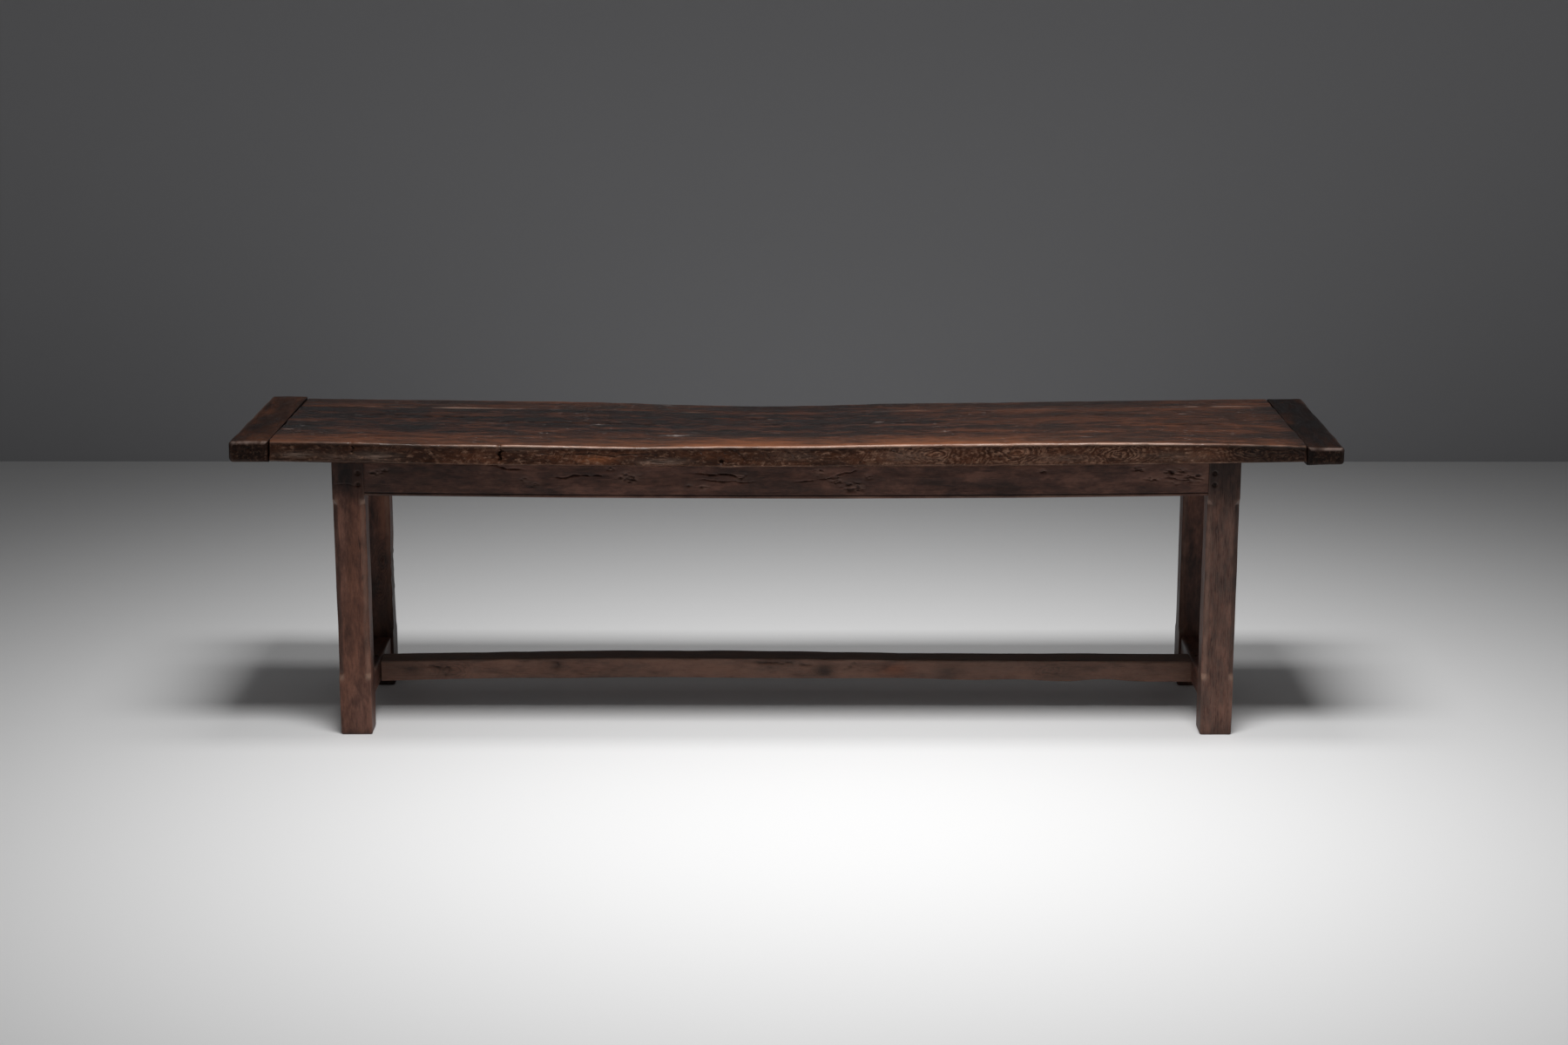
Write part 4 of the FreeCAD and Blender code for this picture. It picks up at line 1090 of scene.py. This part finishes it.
def leg_timber(box, seed):
    """A square leg with stopped chamfers and a foot that has worn round."""
    stations = evenly(box.z0, box.z1, 0.006, *((low, high, 0.002) for low, high in LEG_DETAILS))

    def cuts(z):
        foot = FOOT_EASING * np.clip(1 - z / FOOT_HEIGHT, 0, 1)
        reach = LEG_ARRIS + foot + (CHAMFER - LEG_ARRIS) * chamfered(z)
        return [both(reach * (1 + 0.12 * wobble(z, 0.07, seed)))] * 4

    section = straight(box.x0, box.x1, box.y0, box.y1)
    flats = (row(LEG_SIDE, 0.0024),) * 4
    timber = Timber(stations, section, cuts, flats, rounding=0.004, steps=5,
                    roundness=lambda z: 1 - fade(chamfered(z), 0.0, 0.3), free_ends=True)
    weathered(timber, seed, wave=0.0009)
    return timber


def peg_pits(timber, end, side):
    """1 over the sunk pegs on a leg's outer faces."""
    x, y, z = timber.a, timber.b, timber.along
    on_side, on_end = timber.facing("b", side), timber.facing("a", end)
    pits = [on_side * bored(z, x, (height, end * APRON_PEG_X), PEG_HOLE) for height in RAIL_PEG_HEIGHTS]
    pits += [on_end * bored(z, y, (height, side * END_PEG_Y), PEG_HOLE)
             for height in (*RAIL_PEG_HEIGHTS, STRETCHER_PEG_HEIGHT)]
    return most(*pits)


def leg_piece(name, seed, warmth=0.25, ashen=0.0, darker_below=0.0, cracks=(), knots=(), stains=(), chips=()):
    """A square leg with stopped chamfers, sunk pegs and a foot that has worn round."""
    box = node_box(name)
    end, side = math.copysign(1, box.x0), math.copysign(1, box.y0)
    timber = leg_timber(box, seed)
    x, z = timber.a, timber.along
    front = timber.facing("b", -1)
    pits = peg_pits(timber, end, side)
    split_depth, split_dark = cracks_in(z, x, cracks)
    stained = spots(z, x, stains)
    burr = stained * (0.5 + 0.5 * layered_noise(timber.places(), (0.016, 0.012, 0.012), seed + 7, 2))
    timber.push(-PIT_DEPTH * pits - front * split_depth - BURR_DEPTH * burr)
    timber.along = np.maximum(timber.along, box.z0)

    # Painted light and shade: the chamfer stops are painted as highlights, the inward chamfers are painted
    # lighter and the outward ones darker.
    stops = near(z, CHAMFER_LOW - CHAMFER_RUN / 2, 0.009) + near(z, CHAMFER_HIGH + CHAMFER_RUN / 2, 0.009)
    stop_highlights = 0.85 * stops * fade(timber.from_arris, 0.016, 0.008)
    chamfers = 0.6 * np.abs(timber.out_a * timber.out_b) * chamfered(z)
    inward = fade(-end * timber.out_a, 0.0, 0.3)
    # The dirt mark also paints shade on the upper ends of the legs, under the top; lower down some legs get
    # darker towards the bottom, and every foot is darker at the floor.
    marks = {
        "wear_and_highlight": most(0.5 * rubbed(timber, 0.004, seed + 3), chamfers * inward, stop_highlights),
        "warm": warmth * fade(noise(timber.places(), (0.2, 0.05, 0.05), seed + 5), -0.3, 0.5),
        "torn": np.full(x.shape, ashen),
        "dirt_and_shade": most(front * split_dark, stained * (0.6 + 0.4 * burr), pits, chamfers * (1 - inward),
                     0.85 * fade(z, 0.57, 0.67), darker_below * fade(z, 0.5, 0.22), 0.45 * np.exp(-z / 0.015)),
        "scuff_and_glint": front * spots(z, x, chips),
        "knot": 1 - front * (1 - knot_distance(z, x, knots)),
    }
    make_piece(name, "z", [(timber, marks)], "frame_wood")


def rail(half_length, step, sides, cuts, flats):
    """A timber between two shoulders that lie as far to either side of the middle."""
    return Timber(evenly(-half_length, half_length, step), sides, cuts, flats, rounding=0.001, caps=2)


APRON_SAG = 0.007
APRON_END = APRON.z0 + APRON_SAG
BEAD_HEIGHT = 0.006
BEAD_GROOVE = 0.003
BEAD_DEPTH = 0.002
APRON_GRIME = 0.06
APRON_ASHEN = 0.08
APRON_CRACKS = (
    (1.9, 4, (-735, 691), (-690, 682), (-640, 679)),
    (1.7, 4, (-580, 656), (-530, 662), (-480, 664), (-430, 668)),
    (2.1, 5, (-230, 671), (-190, 667), (-140, 669), (-100, 657)),
    (1.6, 3, (-220, 653), (-150, 651), (-65, 649)),
    (1.6, 3, (20, 647), (90, 656), (130, 668), (195, 684)),
    (2.3, 5, (930, 676), (965, 667), (1000, 660), (1022, 655)),
    (1.7, 3, (925, 662), (960, 655), (1000, 648)),
)
APRON_PITS = (
    (-385, 660, 30, 14, 1.0), (-430, 680, 10, 6, 0.8), (-640, 652, 14, 8, 0.8), (-615, 640, 12, 6, 0.8),
    (-200, 636, 12, 7, 1.0), (-110, 660, 20, 9, 0.9), (-235, 640, 10, 6, 0.7), (80, 672, 14, 10, 0.8),
    (125, 652, 18, 10, 1.0), (165, 636, 30, 14, 0.9), (200, 660, 14, 8, 0.6), (630, 676, 9, 6, 0.8),
    (865, 681, 16, 8, 1.0), (955, 672, 34, 11, 0.9), (1000, 660, 24, 13, 1.0), (900, 655, 24, 7, 0.7),
    (950, 646, 20, 7, 0.6), (-1005, 668, 18, 9, 0.9), (-985, 678, 12, 6, 0.7),
)


def apron_lower_edge(x):
    """Height of an apron's lower edge, which sags in the middle."""
    return APRON_END - APRON_SAG * (1 - (x / SHOULDER_X) ** 2)


def apron_timber(box, facing):
    """A long apron, with closer points on its outer face and along its bead."""

    def sides(x):
        return box.y0, box.y1, apron_lower_edge(x), plank_underside(x) - JOINT_GAP

    high = APRON.z1 - APRON.z0
    face, plain = row(high, 0.002, (0, 0.013, 0.0011)), row(high, 0.012)
    under = row(box.y1 - box.y0, 0.008)
    flats = (under, plain, under, 1 - face[::-1]) if facing < 0 else (under, face, under, plain)
    return rail(SHOULDER_X, 0.003, sides, even(0.0016), flats)


def apron_piece(name, facing, seed, cracks, pits):
    """A long apron with a scratched bead along its lower edge; facing is -1 at the front."""
    timber = apron_timber(node_box(name), facing)
    x, z = timber.along, timber.b
    outer = timber.facing("a", facing)
    above = z - apron_lower_edge(x)
    groove = near(above, BEAD_HEIGHT + BEAD_GROOVE / 2, BEAD_GROOVE / 2, power=4)
    weathered(timber, seed, wave=0.001)
    split_depth, split_dark = cracks_in(x, z, cracks)
    ragged = fade(layered_noise(timber.places(), (0.011, 0.007, 0.006), seed + 1, 2), -0.2, 0.6)
    rough = spots(x, z, pits)
    pitted = fade(rough, 0.1, 0.7) * ragged
    timber.push(-outer * (BEAD_DEPTH * groove + split_depth + PIT_DEPTH * pitted))
    bead_rub = near(above, BEAD_HEIGHT / 2, 0.0025) * np.clip(0.35 + 0.4 * wobble(x, 0.09, seed + 3), 0, 1)
    grimy = APRON_GRIME + 0.16 * fade(-x, 0.4, 0.9) + 0.1 * fade(x, 0.4, 0.8)
    marks = {
        "wear_and_highlight": outer * most(bead_rub, 0.35 * rough * (1 - ragged)),
        "warm": 0.22 * fade(noise(timber.places(), (0.3, 0.05, 0.03), seed + 5), 0.0, 0.7),
        "dirt_and_shade": most(grimy, outer * most(0.8 * groove, split_dark, 0.6 * pitted)),
        "torn": np.full(x.shape, APRON_ASHEN),
    }
    make_piece(name, "x", [(timber, marks)], "frame_wood")


def end_rail_piece(name, seed):
    """A short rail under an end of the top."""
    box = node_box(name)
    section = straight(box.x0, box.x1, box.z0, box.z1 - JOINT_GAP)
    flats = (row(0.03, 0.006), row(0.09, 0.006)) * 2
    timber = rail(SHOULDER_Y, 0.006, section, even(0.0018), flats)
    weathered(timber, seed, wave=0.001)
    # The dirt mark makes the rail darker towards its top.
    marks = {"wear_and_highlight": 0.5 * rubbed(timber, 0.004, seed + 3), "dirt_and_shade": 0.4 * fade(timber.b, 0.64, 0.7)}
    make_piece(name, "y", [(timber, marks)], "frame_wood")


FOOT_RUB_DEPTH = 0.003
FOOT_RUB_REACH = 0.09


def end_stretcher_piece(name, seed):
    """A low rail from a front leg to a back leg, rubbed by feet along its top."""
    box = node_box(name)

    def cuts(y):
        return eased(0.003, 0.006 * (1 + 0.4 * wobble(y, 0.05, seed)))

    section = straight(box.x0, box.x1, box.z0, box.z1)
    flats = (row(0.066, 0.006), row(0.061, 0.006)) * 2
    timber = rail(SHOULDER_Y, 0.006, section, cuts, flats)
    weathered(timber, seed, wave=0.0014)
    top = timber.facing("b", 1)
    timber.push(-FOOT_RUB_DEPTH * near(timber.along, 0, FOOT_RUB_REACH) * top)
    marks = {"wear_and_highlight": 0.6 * rubbed(timber, 0.008, seed + 3), "dirt_and_shade": 0.25 * top}
    make_piece(name, "y", [(timber, marks)], "frame_wood")


STRETCHER_TOP = smooth_curve((
    (-1.042, 0.1287), (-0.75, 0.1332), (-0.44, 0.1366), (-0.05, 0.1352), (0.45, 0.1312), (1.042, 0.128)))
STRETCHER_UNDER = smooth_curve((
    (-1.042, 0.0738), (-0.8, 0.0805), (-0.44, 0.0842), (0.0, 0.0825), (0.36, 0.08), (0.48, 0.0765),
    (0.6, 0.078), (0.73, 0.074), (0.81, 0.0805), (0.89, 0.0745), (1.042, 0.0727)))
STRETCHER_CRACKS = (
    (3.6, 4, (-890, 130), (-866, 110), (-882, 86)),
    (3, 3, (-925, 118), (-890, 108), (-850, 112)),
    (3.6, 4, (-600, 134), (-582, 122), (-595, 106)),
    (3, 3, (-570, 128), (-590, 118), (-584, 104)),
    (3.6, 4, (185, 130), (165, 116), (145, 104)),
    (3.2, 3, (-110, 129), (-40, 125), (30, 123), (80, 117)),
    (3, 2, (425, 124), (432, 112), (428, 102)),
)
STRETCHER_KNOTS = ((100, 102, 26), (-860, 106, 50), (680, 105, 45))
STRETCHER_STAINS = (
    (100, 102, 24, 18, 0.9), (-880, 108, 28, 22, 0.5), (-588, 118, 18, 18, 0.6),
    (420, 112, 35, 20, 0.4), (-965, 104, 35, 22, 0.55), (720, 102, 60, 30, 0.35),
    (-20, 130, 90, 6, 0.5), (430, 100, 50, 20, 0.25),
)
STRETCHER_WARMTH = ((275, 106, 50, 18, 1.0), (-520, 108, 200, 25, 0.35), (-860, 112, 50, 20, 0.3))


def long_stretcher_piece():
    """The bowed rail between the end stretchers, with a wavy lower edge."""

    def sides(x):
        return LONG_STRETCHER.y0, LONG_STRETCHER.y1, STRETCHER_UNDER(x), STRETCHER_TOP(x)

    def cuts(x):
        return eased(0.004, 0.005 * (1 + 0.5 * wobble(x, 0.06, 81)))

    flats = (row(0.074, 0.004), row(0.056, 0.004)) * 2
    timber = rail(-END_STRETCHER.x1 - JOINT_GAP, 0.005, sides, cuts, flats)
    weathered(timber, 83, wave=0.0014)
    x, z = timber.along, timber.b
    front, top = timber.facing("a", -1), timber.facing("b", 1)
    split_depth, split_dark = cracks_in(x, z, STRETCHER_CRACKS)
    orange = spots(x, z, STRETCHER_WARMTH)
    timber.push(-front * split_depth)
    # The front face is painted lighter by the warm, wear and torn marks, standing in for light from the
    # front; the top is painted a pale grey, partly dust and partly painted sheen.
    marks = {
        "wear_and_highlight": most(0.5 * rubbed(timber, 0.006, 85), 0.3 * front * (1 - orange), 0.3 * top),
        "warm": front * most(0.5, orange),
        "dirt_and_shade": front * most(split_dark, spots(x, z, STRETCHER_STAINS)),
        "torn": 0.9 * top + 0.25 * front * (1 - orange),
        "knot": 1 - (1 - knot_distance(x, z, STRETCHER_KNOTS)) * front,
    }
    make_piece("long_stretcher", "x", [(timber, marks)], "frame_wood")


# Pegs

TOP_PEGS = node_box("top_pegs")
CLEAT_PEGS = node_box("cleat_pegs")
STRETCHER_PEGS = node_box("long_stretcher_pegs")
TOP_PEG_RADIUS = 0.007
TOP_PEG_X = 0.69
TOP_PEG_Y = 0.095
CLEAT_PEG_PLACES = (-0.237, 0.124, 0.2425)
PEG_LENGTH = 0.05
SUNK = 0.0022
FLUSH = 0.0004
BOTH = (-1, 1)
PEG_LEAN = 0.06
PEG_DOME = 0.35
PEG_ROUNDNESS = 0.35
PEG_SEED = 200
TOP_PEG_SEED = 220


def peg(start, end, centre, seed, radius):
    """A peg whittled to eight sides, with domed ends."""
    start, end = sorted((start, end))
    lean = radius * PEG_LEAN * np.array([math.sin(seed), math.cos(seed)])
    low_a, low_b = np.array(centre) - radius + lean
    section = straight(low_a, low_a + 2 * radius, low_b, low_b + 2 * radius)
    timber = Timber(evenly(start, end, 0.006), section, even(radius * (2 - math.sqrt(2))), ((0.5,),) * 4,
                    rounding=radius * PEG_DOME, steps=2,
                    roundness=lambda along: np.full(along.shape, PEG_ROUNDNESS), free_ends=True)
    weathered(timber, seed, wave=0.0002, ridges=0.0)
    return timber, {"wear_and_highlight": 0.5 * rubbed(timber, 0.003, seed), "dirt_and_shade": np.full(timber.a.shape, 0.25)}


def peg_group(name, axis, pegs, slot="peg_wood", first_seed=PEG_SEED, radius=PEG_RADIUS):
    """One object of a group of like pegs, each given as (start, end, centre)."""
    made = [peg(*given, seed, radius) for seed, given in enumerate(pegs, first_seed)]
    make_piece(name, axis, made, slot)


def frame_pegs():
    """The pegs that hold the tenons of the frame."""
    side_face, end_face = APRON_PEGS.y1 - SUNK, END_RAIL_PEGS.x1 - SUNK
    peg_group("apron_pegs", "y", [
        (side * side_face, side * (side_face - PEG_LENGTH), (end * APRON_PEG_X, height))
        for side in BOTH for end in BOTH for height in RAIL_PEG_HEIGHTS])
    peg_group("end_rail_pegs", "x", [
        (end * end_face, end * (end_face - PEG_LENGTH), (side * END_PEG_Y, height))
        for end in BOTH for side in BOTH for height in RAIL_PEG_HEIGHTS])
    peg_group("end_stretcher_pegs", "x", [
        (end * end_face, end * (end_face - PEG_LENGTH), (side * END_PEG_Y, STRETCHER_PEG_HEIGHT))
        for end in BOTH for side in BOTH])
    peg_group("long_stretcher_pegs", "z", [
        (STRETCHER_PEGS.z0, STRETCHER_PEGS.z1, (end * (STRETCHER_PEGS.x1 - PEG_RADIUS), 0.0))
        for end in BOTH])


def top_pegs():
    """The pegs that hold the planks down, flush with the worn top."""
    places = [(end * TOP_PEG_X, side * (TOP_PEGS.y1 - TOP_PEG_RADIUS)) for end in BOTH for side in BOTH]
    places += [(end * (TOP_PEGS.x1 - TOP_PEG_RADIUS), side * TOP_PEG_Y) for end in BOTH for side in BOTH]
    pegs = [(TOP_PEGS.z0, float(plank_top(np.array(x), y)) - FLUSH, (x, y)) for x, y in places]
    peg_group("top_pegs", "z", pegs, "plank_wood", TOP_PEG_SEED, TOP_PEG_RADIUS)


def cleat_pegs():
    """The pegs through the cleats, flush with their tops."""
    pegs = []
    for name, end in (("cleat_left", -1), ("cleat_right", 1)):
        for y in CLEAT_PEG_PLACES:
            lift = along_cleat(name, CLEAT_LIFTS, y)
            centre = (end * (CLEAT_PEGS.x1 - PEG_RADIUS), y)
            pegs.append((CLEAT_PEGS.z0 + lift, CLEAT_PEGS.z1 + lift - FLUSH, centre))
    peg_group("cleat_pegs", "z", pegs)


# The pieces

front_plank_piece()
back_plank_piece()
tongues_piece()
cleat_piece("cleat_left", LEFT_JOINT, LEFT_CLEAT.x0, 71, 0.75, 0.0, CLEAT_END_CRACKS)
cleat_piece("cleat_right", RIGHT_JOINT, RIGHT_CLEAT.x1, 73, 0.05, 0.9)
leg_piece("leg_front_left", 101, warmth=0.35,
          cracks=((2, 2, (520, -1057), (460, -1050), (380, -1046)),
                  (1.6, 1, (641, -1112), (642, -1075), (641, -1038))),
          chips=((457, -1092, 4, 3, 0.9),))
leg_piece("leg_front_right", 103, warmth=0.1, ashen=0.3,
          cracks=((1.8, 2, (234, 1066), (232, 1078), (236, 1092)),
                  (1.8, 2, (300, 1062), (240, 1058), (180, 1060))))
leg_piece("leg_back_left", 105, warmth=0.5, darker_below=0.8,
          knots=((340, -1058, 50), (270, -1066, 40)),
          stains=((340, -1056, 50, 45, 1.0), (265, -1066, 55, 45, 1.0)))
leg_piece("leg_back_right", 107, darker_below=0.5)
apron_piece("apron_front", -1, 111, APRON_CRACKS, APRON_PITS)
apron_piece("apron_back", 1, 113, APRON_CRACKS[:5:2], APRON_PITS[1:7:2])
end_rail_piece("end_rail_left", 121)
end_rail_piece("end_rail_right", 123)
end_stretcher_piece("end_stretcher_left", 131)
end_stretcher_piece("end_stretcher_right", 133)
long_stretcher_piece()
frame_pegs()
top_pegs()
cleat_pegs()


# The studio

FLOOR_COLOUR = (0.8, 0.8, 0.8, 1)
BACKDROP_COLOUR = (0.4, 0.4, 0.415, 1)
BACKDROP_Y = 2.94
STAGE_ROUGHNESS = 0.7
STUDIO_REACH = 14.0
BACKDROP_HEIGHT = 8.0
Softbox = namedtuple("Softbox", "place target size power spread")
FRONT_SOFTBOX = Softbox((0.22, -1.68, 5.0), (0.2, -0.9, 0.0), (2.4, 0.95), 45.5, 74)
OVERHEAD_SOFTBOX = Softbox((0.1, -0.15, 5.0), (0.1, 0.15, 0.0), (2.4, 0.7), 10.3, 70)
AMBIENT = 0.125


def sheet(name, corners, colour):
    """A plain stage surface, see-through from behind."""
    mesh = bpy.data.meshes.new(name)
    mesh.from_pydata(corners, [], [(0, 1, 2, 3)])
    shader = Shader(name)
    shader.set_surface(Base_Color=colour, Roughness=STAGE_ROUGHNESS)
    behind = shader.node("ShaderNodeNewGeometry", {}, output="Backfacing")
    clear = shader.node("ShaderNodeBsdfTransparent", {})
    inputs = {0: behind, 1: Value(shader, shader.surface.outputs[0]), 2: clear}
    mixed = shader.node("ShaderNodeMixShader", inputs)
    shader.feed(shader.nodes["Material Output"].inputs["Surface"], mixed)
    mesh.materials.append(shader.material)
    obj = bpy.data.objects.new(name, mesh)
    bpy.context.scene.collection.objects.link(obj)


def softbox(name, given):
    """A soft rectangular studio light."""
    light = bpy.data.lights.new(name, "AREA")
    light.shape = "RECTANGLE"
    light.size, light.size_y = given.size
    light.energy = given.power
    light.spread = math.radians(given.spread)
    obj = bpy.data.objects.new(name, light)
    obj.location = given.place
    obj.rotation_euler = (Vector(given.target) - Vector(given.place)).to_track_quat("-Z", "Y").to_euler()
    bpy.context.scene.collection.objects.link(obj)


def studio():
    """A pale floor, a grey backdrop and soft light."""
    reach = STUDIO_REACH
    sheet("floor", [(-reach, -reach, 0), (reach, -reach, 0), (reach, reach, 0), (-reach, reach, 0)],
          FLOOR_COLOUR)
    far, high = BACKDROP_Y, BACKDROP_HEIGHT
    sheet("backdrop", [(-reach, far, 0), (reach, far, 0), (reach, far, high), (-reach, far, high)],
          BACKDROP_COLOUR)
    softbox("front_softbox", FRONT_SOFTBOX)
    softbox("overhead_softbox", OVERHEAD_SOFTBOX)
    world = bpy.data.worlds.new("studio")
    world.use_nodes = True
    background = world.node_tree.nodes["Background"]
    background.inputs["Color"].default_value = (1, 1, 1, 1)
    background.inputs["Strength"].default_value = AMBIENT
    bpy.context.scene.world = world


CAMERA_PLACE = (0.003, -7.082, 2.199)
CAMERA_DOWN = 13.598
CAMERA_TURN = 0.07
CAMERA_LENS = 65.61
CAMERA_SENSOR = 36
CAMERA_REACH = 100


def camera():
    """The photograph's viewpoint."""
    lens = bpy.data.cameras.new("camera")
    lens.lens = CAMERA_LENS
    lens.sensor_width = CAMERA_SENSOR
    lens.clip_end = CAMERA_REACH
    obj = bpy.data.objects.new("camera", lens)
    obj.location = CAMERA_PLACE
    obj.rotation_euler = (math.radians(90 - CAMERA_DOWN), 0, math.radians(CAMERA_TURN))
    bpy.context.scene.collection.objects.link(obj)
    bpy.context.scene.camera = obj


studio()
camera()
bpy.context.scene.view_settings.view_transform = "Standard"
